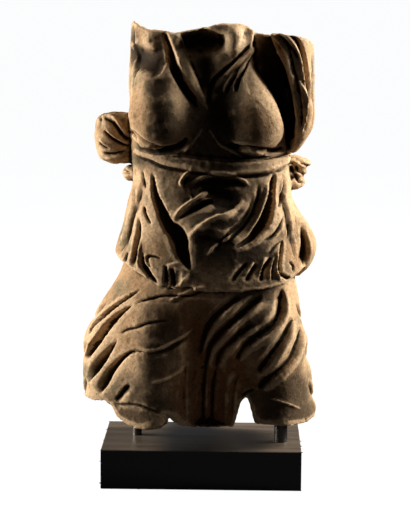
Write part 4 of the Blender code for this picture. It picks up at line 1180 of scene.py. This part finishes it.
@dataclass(frozen=True)
class RodFinish:
    """Dark drawn steel with faint lines along the rod and a breath of rust."""

    steel: Colour = (0.08, 0.075, 0.07, 1.0)
    rust: Colour = (0.09, 0.045, 0.025, 1.0)
    rough: float = 0.42
    rough_rust: float = 0.3

    def build(self, shop: Workshop) -> bpy.types.Material:
        """The material, on Object coordinates.

        Args:
            shop: The shared node groups.

        Returns:
            The material.
        """
        made, plan, shader = start_material("dark_steel", self.steel)
        lines = shop.clouds(plan, Size=0.0006, Seed=10.0, Low=0.3, High=0.7, Stretch=(1.0, 1.0, 0.05))
        spots = shop.clouds(plan, Size=0.004, Seed=11.0, Low=0.55, High=0.75)
        colour = plan.mix(spots, self.steel, self.rust)
        rough = plan.plus(self.rough, plan.times(spots, self.rough_rust))
        bump = plan.add("ShaderNodeBump", {"Height": lines, "Strength": 0.15, "Distance": 0.0001}).outputs[0]
        plan.feed(shader, {"Metallic": 1.0, "Base Color": colour, "Roughness": rough, "Normal": bump})
        return made


@dataclass(frozen=True)
class WeatherTree:
    """A Geometry Nodes tree that wears a stone's skin: broad dents, a fine grain and scattered pits."""

    dent_depth: float = 0.0009
    dent_size: float = 0.016
    grain_depth: float = 0.0003
    grain_size: float = 0.0034
    pit_depth: float = 0.0007
    pit_size: float = 0.011
    pit_rim: Pair = (0.04, 0.2)
    seed: float = 12.0

    def build(self) -> bpy.types.NodeTree:
        """The tree, which ends in realised instances and its material.

        Returns:
            The tree.
        """
        plan = NodePlan(bpy.data.node_groups.new("stone_weather", "GeometryNodeTree"))
        plan.socket("Geometry", "NodeSocketGeometry")
        for name in WEATHER_INPUTS:
            plan.socket(name)
        plan.socket("Material", "NodeSocketMaterial")
        plan.socket("Geometry", "NodeSocketGeometry", "OUTPUT")
        given = plan.add("NodeGroupInput").outputs
        place = plan.add("GeometryNodeInputPosition").outputs[0]
        normal = plan.add("GeometryNodeInputNormal").outputs[0]
        dents = self.wave(plan, place, given["Dent Size"], given["Dent Depth"], given["Seed"])
        grains = self.wave(plan, place, given["Grain Size"], given["Grain Depth"], given["Seed"])
        pit_scale = plan.math("DIVIDE", 1.0, given["Pit Size"])
        cells = {"Vector": place, "W": given["Seed"], "Scale": pit_scale}
        away = plan.add("ShaderNodeTexVoronoi", cells, voronoi_dimensions="4D").outputs["Distance"]
        sunk = plan.math("SUBTRACT", plan.ranged(away, *self.pit_rim), 1.0)
        pits = plan.times(sunk, given["Pit Depth"])
        rise = plan.plus(plan.plus(dents, grains), pits)
        offset = plan.add("ShaderNodeVectorMath", {0: normal, "Scale": rise}, operation="SCALE").outputs[0]
        shift = {"Geometry": given["Geometry"], "Offset": offset}
        moved = plan.add("GeometryNodeSetPosition", shift).outputs[0]
        return plan.settle(moved, given["Material"])

    @staticmethod
    def wave(plan: NodePlan, place: Socket, size: Socket, depth: Socket, seed: Socket) -> Socket:
        """A noise of a given size and depth, about zero.

        Args:
            plan: The plan of the tree to build in.
            place: Where each corner lies.
            size: The size of a wave.
            depth: How far it goes up and down.
            seed: The noise's seed.

        Returns:
            The height at each corner.
        """
        texture = {"Vector": place, "W": seed, "Scale": plan.math("DIVIDE", 1.0, size), "Detail": 3.0}
        cloud = plan.add("ShaderNodeTexNoise", texture, noise_dimensions="4D").outputs[0]
        return plan.times(plan.math("SUBTRACT", cloud, 0.5), plan.times(depth, 2.0))

    def apply(self, target: bpy.types.Object, finish: bpy.types.Material) -> None:
        """Wear an object with the tree and keep the plain mesh."""
        run_tree(target, self.build(), {**input_values(self, WEATHER_INPUTS), "Material": finish})


def input_values(settings: object, names: tuple[str, ...]) -> dict:
    """Values for a tree's inputs, read from fields of the same names."""
    return {name: getattr(settings, name.lower().replace(" ", "_")) for name in names}


def run_tree(target: bpy.types.Object, tree: bpy.types.NodeTree, values: dict) -> None:
    """Run a Geometry Nodes tree on an object and keep the plain mesh.

    Args:
        target: The object, whose mesh is replaced by the outcome.
        tree: The tree.
        values: A value for each of the tree's inputs, by name.
    """
    modifier = target.modifiers.new(tree.name, "NODES")
    modifier.node_group = tree
    for item in tree.interface.items_tree:
        if item.item_type == "SOCKET" and item.in_out == "INPUT" and item.name in values:
            modifier[item.identifier] = values[item.name]
    bake(target)


@dataclass
class Torso:
    """The stone figure: its masses, breaks, carving and weathered skin."""

    low: Vector
    high: Vector
    span: float = 100.3
    grain: float = 0.34
    quick_grain: float = 0.6
    triangles: int = 192000
    ring_points: int = 96
    sight: Sight = field(default_factory=Sight)
    break_front: float = -16.5
    break_half_width: float = 30.5
    break_reach: float = 30.0
    top_slope: float = 0.10
    chest_blend: float = 7.0
    hollow_rounds: int = 14
    hollow_floor: float = 2.0
    upright_from: float = 8.0
    upright_to: float = 94.0
    upright_blend: float = 6.0
    chest_bottom: Pair = (70.0, 6.0)
    chest_top: Pair = (95.0, 4.0)
    chest_front: Pair = (-4.0, 3.0)
    chest_left: Pair = (-18.5, 2.0)
    chest_right: Pair = (19.0, 3.0)
    facing: Pair = (-0.1, 0.3)
    flank_turn: float = 0.5
    break_turn: Pair = (0.8, 0.15)
    skin_rough: float = 0.12
    break_rough: float = 0.45
    rough_size: float = 5.0
    rough_detail: Point = (0.8, 2.0, 5)
    above: float = 130.0
    below: float = -30.0
    rim_power: int = 4

    skirt: list[Row] = field(default_factory=lambda: [
        (-5.8, -29.5, 29.3, -14.8, 12.5),
        (1.9, -30.2, 28.9, -14.8, 12.5),
        (8.4, -30.2, 27.8, -15.4, 13.0),
        (18.6, -30.2, 26.1, -16.4, 13.8),
        (23.7, -28.9, 25.3, -16.7, 14.4),
        (30.1, -25.4, 24.2, -16.4, 14.4),
        (36.5, -21.4, 22.9, -15.5, 13.8),
        (42.8, -18.9, 21.5, -14.0, 12.5),
        (51.6, -15.9, 20.2, -12.0, 11.0),
    ])
    overfold: list[Row] = field(default_factory=lambda: [
        (30.0, -25.2, 27.4, -21.2, 17.6),
        (36.0, -23.8, 26.6, -20.6, 17.0),
        (41.3, -22.6, 25.6, -19.0, 15.8),
        (45.8, -21.4, 24.5, -17.8, 14.6),
        (49.8, -20.2, 23.4, -16.8, 13.6),
        (53.9, -19.2, 22.6, -15.6, 12.6),
        (57.9, -18.2, 21.8, -14.6, 12.0),
        (61.6, -17.7, 21.5, -13.8, 11.8),
        (67.9, -17.5, 20.7, -12.6, 11.5),
    ])
    chest: list[Row] = field(default_factory=lambda: [
        (60.0, -17.5, 21.4, -12.8, 11.2),
        (68.8, -18.2, 20.7, -12.8, 11.6),
        (74.0, -18.5, 20.6, -13.2, 12.0),
        (80.2, -18.7, 21.6, -12.8, 12.4),
        (87.6, -19.0, 23.4, -11.4, 12.4),
        (93.7, -18.6, 24.2, -9.8, 11.6),
        (102.0, -18.2, 23.0, -7.6, 10.0),
    ])
    back: list[Row] = field(default_factory=lambda: [
        (61.0, -16.0, 21.0, 0.0, 11.6),
        (68.0, -16.8, 22.0, 0.0, 12.4),
        (78.0, -17.6, 24.4, 0.0, 13.2),
        (90.0, -17.8, 25.4, 0.0, 12.8),
        (102.0, -17.4, 25.0, 0.0, 11.2),
    ])
    neck: list[Row] = field(default_factory=lambda: [
        (80.0, -6.0, 13.0, -9.0, 9.0),
        (88.0, -6.0, 13.0, -10.2, 9.0),
        (102.0, -6.0, 13.0, -10.6, 9.0),
    ])
    sleeve: list[Row] = field(default_factory=lambda: [
        (68.2, 20.5, 22.9, -6.0, 6.0),
        (70.7, 21.2, 24.9, -8.0, 7.5),
        (74.4, 21.2, 26.8, -10.0, 9.0),
        (80.6, 20.6, 27.2, -11.6, 10.0),
        (86.7, 19.0, 27.1, -11.2, 10.4),
        (94.0, 16.4, 26.8, -9.8, 10.0),
        (102.0, 14.4, 26.4, -8.6, 9.0),
    ])
    elbow_cloth: list[Row] = field(default_factory=lambda: [
        (64.8, -24.8, -17.0, 0.0, 7.0),
        (66.2, -26.6, -16.0, -2.2, 9.0),
        (70.2, -27.6, -15.0, -3.4, 10.0),
        (75.4, -27.2, -15.0, -2.8, 9.6),
        (76.9, -25.2, -16.0, -1.0, 8.0),
    ])
    hem_tail: list[Row] = field(default_factory=lambda: [
        (37.4, 22.0, 24.4, -4.0, 5.0),
        (39.6, 21.4, 26.6, -6.0, 7.0),
        (42.5, 20.6, 28.0, -6.6, 8.0),
        (45.8, 20.0, 28.1, -6.4, 8.0),
        (49.8, 19.0, 26.2, -5.4, 7.0),
        (53.9, 18.0, 23.4, -4.0, 6.0),
        (57.0, 17.0, 21.6, -2.0, 5.0),
    ])
    swellings: list[tuple[Point, Point]] = field(default_factory=lambda: [
        ((-10.6, -9.6, 77.4), (7.8, 7.8, 8.8)),
        ((-10.8, -6.6, 83.0), (7.0, 8.0, 9.0)),
        ((12.0, -9.8, 76.8), (8.0, 8.0, 9.4)),
        ((11.4, -6.6, 82.6), (6.6, 8.0, 9.0)),
        ((22.4, 2.0, 64.9), (4.3, 5.0, 1.6)),
        ((22.0, 3.0, 62.8), (3.7, 5.0, 1.7)),
        ((21.6, 3.0, 60.2), (3.7, 5.0, 2.0)),
        ((-18.2, 2.0, 62.2), (2.3, 3.5, 1.8)),
    ])
    back_roll: list[Point] = field(default_factory=lambda: [
        (-22.0, 6.0, 71.0), (-12.0, 12.5, 67.5), (2.0, 14.5, 65.0), (14.0, 12.0, 63.0), (22.0, 5.0, 62.5),
    ])
    back_roll_radius: float = 2.9
    hem_line: list[Point] = field(default_factory=lambda: [
        (-32.0, 44.0), (-22.7, 41.3), (-20.9, 39.8), (-18.4, 38.3), (-15.9, 37.0), (-13.9, 35.8),
        (-11.6, 34.3), (-7.1, 33.8), (-3.4, 34.6), (-0.8, 32.9), (6.7, 33.0), (14.7, 33.6), (20.4, 34.9),
        (25.3, 38.7), (33.0, 41.3),
    ])
    top_break: list[Point] = field(default_factory=lambda: [
        (-32.0, 92.0), (-19.8, 95.6), (-18.8, 100.3), (-17.5, 101.3), (-15.8, 100.0), (-11.1, 98.6),
        (-6.7, 98.3), (-3.8, 98.9), (3.6, 100.3), (7.3, 100.6), (9.8, 100.4), (12.2, 98.9), (15.9, 98.3),
        (20.8, 97.9), (26.0, 96.8), (27.0, 95.3), (32.0, 94.0),
    ])
    foot_break: list[Point] = field(default_factory=lambda: [
        (-36.0, 9.0), (-29.9, 6.4), (-27.2, 4.8), (-24.6, 4.6), (-22.9, 3.3), (-21.1, 0.0), (-18.1, -2.1),
        (-15.0, -3.1), (-12.5, -3.0), (-11.2, -1.5), (-9.5, 0.6), (-7.9, 0.2), (-6.4, -1.4), (-5.1, -2.4),
        (8.0, -2.4), (9.0, 1.6), (9.7, 3.9), (11.1, 5.4), (12.0, 3.5), (13.3, -0.7), (13.8, -1.7),
        (20.1, -1.8), (25.9, -0.5), (28.2, 1.0), (29.4, 3.6), (36.0, 5.2),
    ])
    sleeve_hollow: list[Point] = field(default_factory=lambda: [
        (12.2, 99.0), (11.7, 94.0), (11.7, 90.3), (12.6, 87.1), (14.6, 84.7), (17.0, 81.8), (18.6, 78.1),
        (19.6, 74.6), (20.2, 69.8), (22.3, 71.4), (22.6, 76.6), (21.8, 81.8), (20.3, 87.7), (18.2, 92.2),
        (17.0, 94.5), (15.6, 99.0),
    ])
    throat_centre: Point = (-0.6, -11.6, 95.2)
    throat_radii: Point = (7.4, 6.4, 3.2)

    @property
    def fineness(self) -> float:
        return self.grain

    def loft(self, bm: bmesh.types.BMesh, rows: list[Row], squareness: float = 2.4) -> None:
        """Add a mass with rounded cross-sections through its rows.

        Args:
            bm: The edit mesh to add to.
            rows: Height, left, right, front and back of each section, lowest first.
            squareness: How boxy the sections are, from 2 for an ellipse.
        """
        angles = np.linspace(0, 2 * np.pi, self.ring_points, endpoint=False)
        across = np.sign(np.cos(angles)) * np.abs(np.cos(angles)) ** (2 / squareness)
        along = np.sign(np.sin(angles)) * np.abs(np.sin(angles)) ** (2 / squareness)
        rings = []
        for height, left, right, front, back in spline(rows, CLOSE_STEPS):
            x = (left + right) / 2 + across * (right - left) / 2
            y = (front + back) / 2 + along * (back - front) / 2
            rings.append([(float(px), float(py), float(height)) for px, py in zip(x, y)])
        self.skin(bm, rings)

    @staticmethod
    def skin(bm: bmesh.types.BMesh, rings: list[list[Point]]) -> None:
        """Join rings of points, lowest first, into one closed skin.

        Args:
            bm: The edit mesh to add to.
            rings: The rings, with as many points each.
        """
        made = [[bm.verts.new(point) for point in ring] for ring in rings]
        for lower, upper in zip(made[:-1], made[1:]):
            for index, corner in enumerate(lower):
                before = index - 1
                bm.faces.new((lower[before], corner, upper[index], upper[before]))
        bm.faces.new(list(reversed(made[0])))
        bm.faces.new(made[-1])

    @staticmethod
    def swelling(bm: bmesh.types.BMesh, centre: Point, radii: Point) -> None:
        """Add a rounded swelling."""
        place = Matrix.Translation(centre) @ Matrix.Diagonal((*radii, 1.0))
        bmesh.ops.create_uvsphere(bm, radius=1.0, matrix=place, **SPHERE_PARTS)

    def roll(self, bm: bmesh.types.BMesh) -> None:
        """Add the mantle's roll across the back.

        Args:
            bm: The edit mesh to add to.
        """
        curve = bpy.data.curves.new("back_roll", "CURVE")
        curve.dimensions = "3D"
        curve.bevel_depth = self.back_roll_radius
        curve.use_fill_caps = True
        path = curve.splines.new("POLY")
        points = spline(self.back_roll)
        path.points.add(len(points) - 1)
        for point, position in zip(path.points, points):
            point.co = (*position, 1.0)
        roll = new_object("back_roll", curve)
        bm.from_mesh(evaluated_mesh(roll))
        bpy.data.objects.remove(roll)

    def level(self, x: float, z: float, depth: float) -> Point:
        """A drawn point carried straight back from the stone's rounded front.

        Args:
            x: The point's first coordinate on the drawing plane.
            z: The point's second coordinate on the drawing plane.
            depth: How far back it is carried.

        Returns:
            The point's place.
        """
        rim = self.break_front * max(0.0, 1.0 - (x / self.break_half_width) ** self.rim_power)
        rim_x, _, rim_z = self.sight.reach(x, z, rim)
        return rim_x, depth, rim_z

    def sloping(self, x: float, z: float, depth: float) -> Point:
        """A drawn point carried back and down, from the middle of the stone."""
        return x, depth, z - self.top_slope * max(0.0, depth)

    @staticmethod
    def closed(line: list[Point], height: float) -> list[Point]:
        """The outline of all that lies between a line and a height."""
        return [*line, (line[-1][0], height), (line[0][0], height)]

    def cut_block(self, target: bpy.types.Object, outline: list[Point], back: float, carry: object) -> None:
        """Take a block with a drawn outline out of an object.

        Args:
            target: The object to cut.
            outline: The drawn points.
            back: How far back the block goes.
            carry: Gives the place of a drawn point at a depth.
        """
        bm = bmesh.new()
        self.skin(bm, [[carry(x, z, depth) for x, z in outline] for depth in (-self.break_reach, back)])
        bmesh.ops.recalc_face_normals(bm, faces=bm.faces)
        self.cut(target, mesh_of(bm, "block"))

    @staticmethod
    def cut(target: bpy.types.Object, tool_mesh: bpy.types.Mesh) -> None:
        """Take a closed mesh out of an object at once.

        Args:
            target: The object to cut.
            tool_mesh: What is taken out of it.
        """
        tool = new_object("tool", tool_mesh)
        modifier = target.modifiers.new("cut", "BOOLEAN")
        modifier.operation = "DIFFERENCE"
        modifier.solver = "EXACT"
        modifier.object = tool
        bake(target)
        bpy.data.objects.remove(tool)

    @staticmethod
    def even(target: bpy.types.Object, grain: float) -> None:
        """Melt all of an object's shells into one skin of even grain.

        Args:
            target: The object.
            grain: The size of the new skin's faces.
        """
        modifier = target.modifiers.new("even_grain", "REMESH")
        modifier.mode = "VOXEL"
        modifier.voxel_size = grain
        bake(target)

    def bell(self) -> bpy.types.Mesh:
        """The overfold's bell, cut off along its wavy edge.

        Returns:
            The bell's mesh.
        """
        bm = bmesh.new()
        self.loft(bm, self.overfold)
        bell = new_object("bell", mesh_of(bm, "bell"))
        self.cut_block(bell, self.closed(self.hem_line, 0.0), self.break_reach, self.level)
        made = bell.data
        bpy.data.objects.remove(bell)
        return made

    def masses(self) -> bpy.types.Object:
        """The figure's masses melted together, with its breaks and deep hollows cut.

        Returns:
            The figure, still smooth.
        """
        bm = bmesh.new()
        for rows in (self.skirt, self.chest, self.back, self.sleeve, self.elbow_cloth, self.hem_tail):
            self.loft(bm, rows)
        self.loft(bm, self.neck, squareness=2.0)
        for centre, radii in self.swellings:
            self.swelling(bm, centre, radii)
        self.roll(bm)
        bm.from_mesh(self.bell())
        figure = new_object("draped_torso", mesh_of(bm, "draped_torso"))
        self.even(figure, self.fineness)
        self.cut_block(figure, self.closed(self.top_break, self.above), self.break_reach, self.sloping)
        self.cut_block(figure, self.closed(self.foot_break, self.below), self.break_reach, self.level)
        self.cut_block(figure, self.sleeve_hollow, self.hollow_floor, self.sight.reach)
        throat = bmesh.new()
        self.swelling(throat, self.throat_centre, self.throat_radii)
        self.cut(figure, mesh_of(throat, "throat"))
        self.even(figure, self.fineness)
        return figure

    def blend_chest(self, mesh: bpy.types.Mesh) -> None:
        """Let the breasts run smoothly into the chest above them.

        Args:
            mesh: The figure's mesh, which is changed.
        """
        skin = Skin.read(mesh)
        x, y, z = skin.place.T
        share = short_of(z, *self.chest_top) * past(z, *self.chest_bottom)
        share *= short_of(y, *self.chest_front) * past(x, *self.chest_left) * short_of(x, *self.chest_right)
        place = skin.softened(int(self.chest_blend / self.fineness**2), share)
        mesh.vertices.foreach_set("co", place.astype(np.float32).ravel())
        mesh.update()

    @staticmethod
    def map_hollows(mesh: bpy.types.Mesh, rounds: int, unit: float) -> None:
        """Note for each corner how far it lies below or above its softened surroundings.

        Args:
            mesh: The figure's mesh, which gets the attribute.
            rounds: How often the surroundings are softened.
            unit: How long a hundredth of the figure's height is.
        """
        skin = Skin.read(mesh)
        normal = np.empty(len(mesh.vertices) * 3, dtype=np.float32)
        mesh.vertices.foreach_get("normal", normal)
        away = ((skin.place - skin.softened(rounds)) * normal.reshape(-1, 3)).sum(axis=1) / unit
        edge = mesh.attributes.new("edge", "FLOAT", "POINT")
        edge.data.foreach_set("value", away.astype(np.float32))

    def carve(self, figure: bpy.types.Object) -> None:
        """Raise and cut the skin along the drawn strokes and roughen the breaks.

        Args:
            figure: The figure, whose mesh is changed.
        """
        mesh = figure.data
        count = len(mesh.vertices)
        self.blend_chest(mesh)
        normal = np.empty(count * 3, dtype=np.float32)
        mesh.vertices.foreach_get("normal", normal)
        place, normal = Skin.read(mesh).place, normal.reshape(-1, 3)
        drapery = Drapery()
        boards = {
            Board.FRONT: (*self.sight.drawn(place), -normal[:, 1], drapery.front()),
            Board.BACK: (place[:, 0], place[:, 2], normal[:, 1], drapery.back()),
            Board.FLANK: (place[:, 1], place[:, 2], np.abs(normal[:, 0]) - self.flank_turn, drapery.flank()),
        }
        rise = np.zeros(count)
        for board, (across, up, turned, strokes) in boards.items():
            rise += Drawing(strokes).heights(across, up) * past(turned, *self.facing)
            log.info("carved %d strokes on the %s board", len(strokes), board.value)
        broken = past(np.abs(normal[:, 2]), *self.break_turn)
        spots = (Vector(point) / self.rough_size for point in place)
        rough = np.array([noise.fractal(spot, *self.rough_detail) for spot in spots])
        rise *= 1 - broken
        inside = np.minimum(place[:, 2] - self.upright_from, self.upright_to - place[:, 2])
        outward = normal * rise[:, None]
        outward[:, 2] *= np.clip(inside / self.upright_blend, 0, 1)
        place += outward + normal * (rough * (self.skin_rough + self.break_rough * broken))[:, None]
        mesh.vertices.foreach_set("co", place.astype(np.float32).ravel())
        relief = mesh.attributes.new("relief", "FLOAT", "POINT")
        relief.data.foreach_set("value", rise.astype(np.float32))
        mesh.update()

    def build(self, finish: bpy.types.Material) -> bpy.types.Object:
        """The finished figure, in place of its solid.

        Args:
            finish: The stone's material.

        Returns:
            The figure's object.
        """
        figure = self.masses()
        self.carve(figure)
        unit = (self.high.z - self.low.z) / self.span
        figure.data.transform(Matrix.Translation((0, 0, self.low.z)) @ Matrix.Scale(unit, 4))
        WeatherTree().apply(figure, finish)
        self.map_hollows(figure.data, self.hollow_rounds, unit)
        figure.data.calc_loop_triangles()
        thin = figure.modifiers.new("thin", "DECIMATE")
        thin.ratio = min(1.0, self.triangles / len(figure.data.loop_triangles))
        bake(figure)
        figure.data.shade_smooth()
        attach(figure, BODY)
        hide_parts("torso")
        log.info("%s: %d faces", figure.name, len(figure.data.polygons))
        return figure


@dataclass(frozen=True)
class ChipTree:
    """A Geometry Nodes tree that scatters small flakes along a block's edges."""

    spacing: float = 0.004
    share: float = 0.14
    size: float = 0.0009
    seed: int = 5
    least_scale: Point = (0.5, 0.2, 0.2)
    most_scale: Point = (2.0, 0.55, 0.55)

    def build(self) -> bpy.types.NodeTree:
        """The tree, which ends in realised instances and its material.

        Returns:
            The tree.
        """
        plan = NodePlan(bpy.data.node_groups.new("edge_chips", "GeometryNodeTree"))
        plan.socket("Geometry", "NodeSocketGeometry")
        for name in CHIP_INPUTS:
            plan.socket(name, "NodeSocketInt" if name == "Seed" else "NodeSocketFloat")
        plan.socket("Material", "NodeSocketMaterial")
        plan.socket("Geometry", "NodeSocketGeometry", "OUTPUT")
        given = plan.add("NodeGroupInput").outputs
        curve = plan.add("GeometryNodeMeshToCurve", {"Mesh": given["Geometry"]}).outputs[0]
        steps = {"Curve": curve, "Length": given["Spacing"]}
        points = plan.add("GeometryNodeCurveToPoints", steps, mode="LENGTH").outputs[0]
        chance = {"Probability": given["Share"], "Seed": given["Seed"]}
        chosen = plan.add("FunctionNodeRandomValue", chance, data_type="BOOLEAN").outputs[3]
        flake = plan.add("GeometryNodeMeshIcoSphere", {"Radius": given["Size"], "Subdivisions": 2}).outputs[0]
        limits = {0: self.least_scale, 1: self.most_scale, "Seed": given["Seed"]}
        spread = plan.add("FunctionNodeRandomValue", limits, data_type="FLOAT_VECTOR").outputs[0]
        flakes = {"Points": points, "Selection": chosen, "Instance": flake, "Scale": spread}
        placed = plan.add("GeometryNodeInstanceOnPoints", flakes).outputs[0]
        return plan.settle(placed, given["Material"])


@dataclass
class Plinth:
    """The black block and the small chips along its edges."""

    low: Vector
    high: Vector
    rounding: float = 0.0009
    rounding_steps: int = 4
    chip_inset: float = 0.00035

    def cube(self, inset: float, name: str) -> bpy.types.Mesh:
        """A box of the block's size, drawn in all round by an inset.

        Args:
            inset: How far it is drawn in.
            name: The mesh's name.

        Returns:
            The box.
        """
        bm = bmesh.new()
        size = self.high - self.low
        spread = Matrix.Diagonal((size.x - 2 * inset, size.y - 2 * inset, size.z - 2 * inset, 1.0))
        bmesh.ops.create_cube(bm, size=1.0, matrix=Matrix.Translation((self.low + self.high) / 2) @ spread)
        return mesh_of(bm, name)

    def build(self, lacquer: bpy.types.Material) -> bpy.types.Object:
        """The block, with softly rounded edges.

        Args:
            lacquer: The block's material.

        Returns:
            The block's object.
        """
        block = new_object("lacquered_block", self.cube(0.0, "lacquered_block"))
        rounded = block.modifiers.new("rounded_edges", "BEVEL")
        rounded.width = self.rounding
        rounded.segments = self.rounding_steps
        rounded.harden_normals = True
        bake(block)
        block.data.materials.append(lacquer)
        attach(block, BODY)
        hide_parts("plinth")
        log.info("%s: block %.0f mm long", block.name, 1000 * (self.high.x - self.low.x))
        return block

    def chips(self, wood: bpy.types.Material) -> bpy.types.Object:
        """The flakes of bare wood along the edges.

        Args:
            wood: The flakes' material.

        Returns:
            The flakes' object.
        """
        plan = ChipTree()
        flakes = new_object("edge_chips", self.cube(self.chip_inset, "edge_chips"))
        run_tree(flakes, plan.build(), {**input_values(plan, CHIP_INPUTS), "Material": wood})
        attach(flakes, BODY)
        log.info("%s: %d faces", flakes.name, len(flakes.data.polygons))
        return flakes


@dataclass(frozen=True)
class Lamp:
    """A light that faces a height on the figure from a turn, a rise and a distance, unseen itself."""

    name: str
    power: float
    turn: float
    rise: float
    size: float = 0.7
    distance: float = 1.5
    aim: float = 0.20
    spread: float = 180.0
    mirrored: bool = True
    colour: Point = (1.0, 0.96, 0.90)

    def build(self) -> bpy.types.Object:
        """The light, in place.

        Returns:
            The light's object.
        """
        data = bpy.data.lights.new(self.name, "AREA")
        data.energy = self.power
        data.size = self.size
        data.spread = math.radians(self.spread)
        data.color = self.colour
        turn, rise = math.radians(self.turn), math.radians(self.rise)
        target = Vector((0, 0, self.aim))
        way = Matrix.Rotation(turn, 3, "Z") @ Matrix.Rotation(-rise, 3, "X")
        spot = target + way @ Vector((0, -self.distance, 0))
        aim = target - spot
        made = new_object(self.name, data)
        made.matrix_world = Matrix.Translation(spot) @ aim.to_track_quat("-Z", "Y").to_matrix().to_4x4()
        made.visible_camera = False
        made.visible_glossy = self.mirrored
        return made


@dataclass(frozen=True)
class Studio:
    """The camera at the photograph's viewing point, the floor and the lights.

    Two soft lights stand at the sides. The third one, faint and narrow, stands low in front and only lifts
    the shade between the thighs.
    """

    place: Point = (0.026679, -1.460951, 0.364915)
    pitch: float = 7.655
    yaw: float = -1.004
    roll: float = 0.426
    lens: float = 135.0
    sensor: float = 36.0
    clip: Pair = (0.05, 50.0)
    floor_size: float = 12.0
    floor_white: Colour = (0.985, 0.992, 1.0, 1.0)
    lamps: tuple[Lamp, ...] = (
        Lamp("left_light", power=58.0, turn=-97.0, rise=10.0),
        Lamp("right_light", power=66.0, turn=102.0, rise=28.0),
        Lamp(
            "front_light", power=0.0018, turn=0.0, rise=4.0,
            size=0.12, distance=0.5, aim=0.10, spread=25.0, mirrored=False,
        ),
    )
    fill: float = 0.006
    shine: float = 0.10
    quiet: Colour = (0.03, 0.03, 0.033, 1.0)
    floor_shade: Colour = (0.05, 0.05, 0.055, 1.0)
    floor_glow: float = 0.985

    def camera(self) -> bpy.types.Object:
        """The camera, turned by its pitch, yaw and roll.

        Returns:
            The camera's object.
        """
        pitch, yaw, roll = (math.radians(angle) for angle in (self.pitch, self.yaw, self.roll))
        turn = Matrix.Rotation(-yaw, 3, "Z") @ Matrix.Rotation(math.pi / 2 - pitch, 3, "X")
        turn = turn @ Matrix.Rotation(roll, 3, "Z")
        data = bpy.data.cameras.new("camera")
        data.lens = self.lens
        data.sensor_width = self.sensor
        data.clip_start, data.clip_end = self.clip
        made = new_object("camera", data)
        made.matrix_world = Matrix.Translation(self.place) @ turn.to_4x4()
        bpy.context.scene.camera = made
        return made

    def floor(self) -> bpy.types.Object:
        """A pale floor, bright to the eye and quieter as a source of light.

        Returns:
            The floor's object.
        """
        bm = bmesh.new()
        bmesh.ops.create_grid(bm, x_segments=1, y_segments=1, size=self.floor_size / 2)
        made = new_object("floor", mesh_of(bm, "floor"))
        material, plan, shader = start_material("pale_floor", self.floor_white)
        plan.feed(shader, {"Base Color": self.floor_shade, "Roughness": 1.0, "Specular IOR Level": 0.0})
        plan.feed(shader, {"Emission Color": self.floor_white, "Emission Strength": self.floor_glow})
        seen = plan.add("ShaderNodeLightPath").outputs["Is Camera Ray"]
        quiet = plan.add("ShaderNodeBsdfDiffuse", {"Color": self.quiet}).outputs[0]
        shown = plan.add("ShaderNodeMixShader", {0: seen, 1: quiet, 2: shader.outputs[0]}).outputs[0]
        plan.tree.links.new(shown, plan.tree.nodes["Material Output"].inputs["Surface"])
        made.data.materials.append(material)
        return made

    def surroundings(self) -> None:
        """A white ground to the eye that lights the figure only faintly."""
        world = bpy.data.worlds.new("studio")
        world.use_nodes = True
        bpy.context.scene.world = world
        plan = NodePlan(world.node_tree)
        path = plan.add("ShaderNodeLightPath").outputs
        seen = plan.times(path["Is Camera Ray"], self.floor_glow - self.fill)
        mirrored = plan.times(path["Is Glossy Ray"], self.shine)
        strength = plan.plus(self.fill, plan.plus(seen, mirrored))
        ground = plan.tree.nodes["Background"]
        ground.inputs["Color"].default_value = self.floor_white
        plan.tree.links.new(strength, ground.inputs["Strength"])
        bpy.context.scene.view_settings.view_transform = "Standard"

    def build(self) -> None:
        """Set up the camera, the lights, the floor and the ground."""
        self.camera()
        for lamp in self.lamps:
            lamp.build()
        self.floor()
        self.surroundings()
        log.info("studio ready")


def main() -> None:
    """Build the figure, the plinth and the rods, and set up the studio."""
    logging.basicConfig(level=logging.INFO, format="%(name)s: %(message)s")
    shop = Workshop()
    Studio().build()
    Torso(*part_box("torso")).build(SchistFinish().build(shop))
    plinth = Plinth(*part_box("plinth"))
    plinth.build(LacquerFinish(plinth.high.z).build(shop))
    plinth.chips(ChipFinish().build(shop))
    steel = RodFinish().build(shop)
    for name in ("rod_left", "rod_right"):
        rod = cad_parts[name]
        rod.data.materials.clear()
        rod.data.materials.append(steel)
        log.info("%s: dressed in steel", name)


if __name__ == "__main__":
    main()
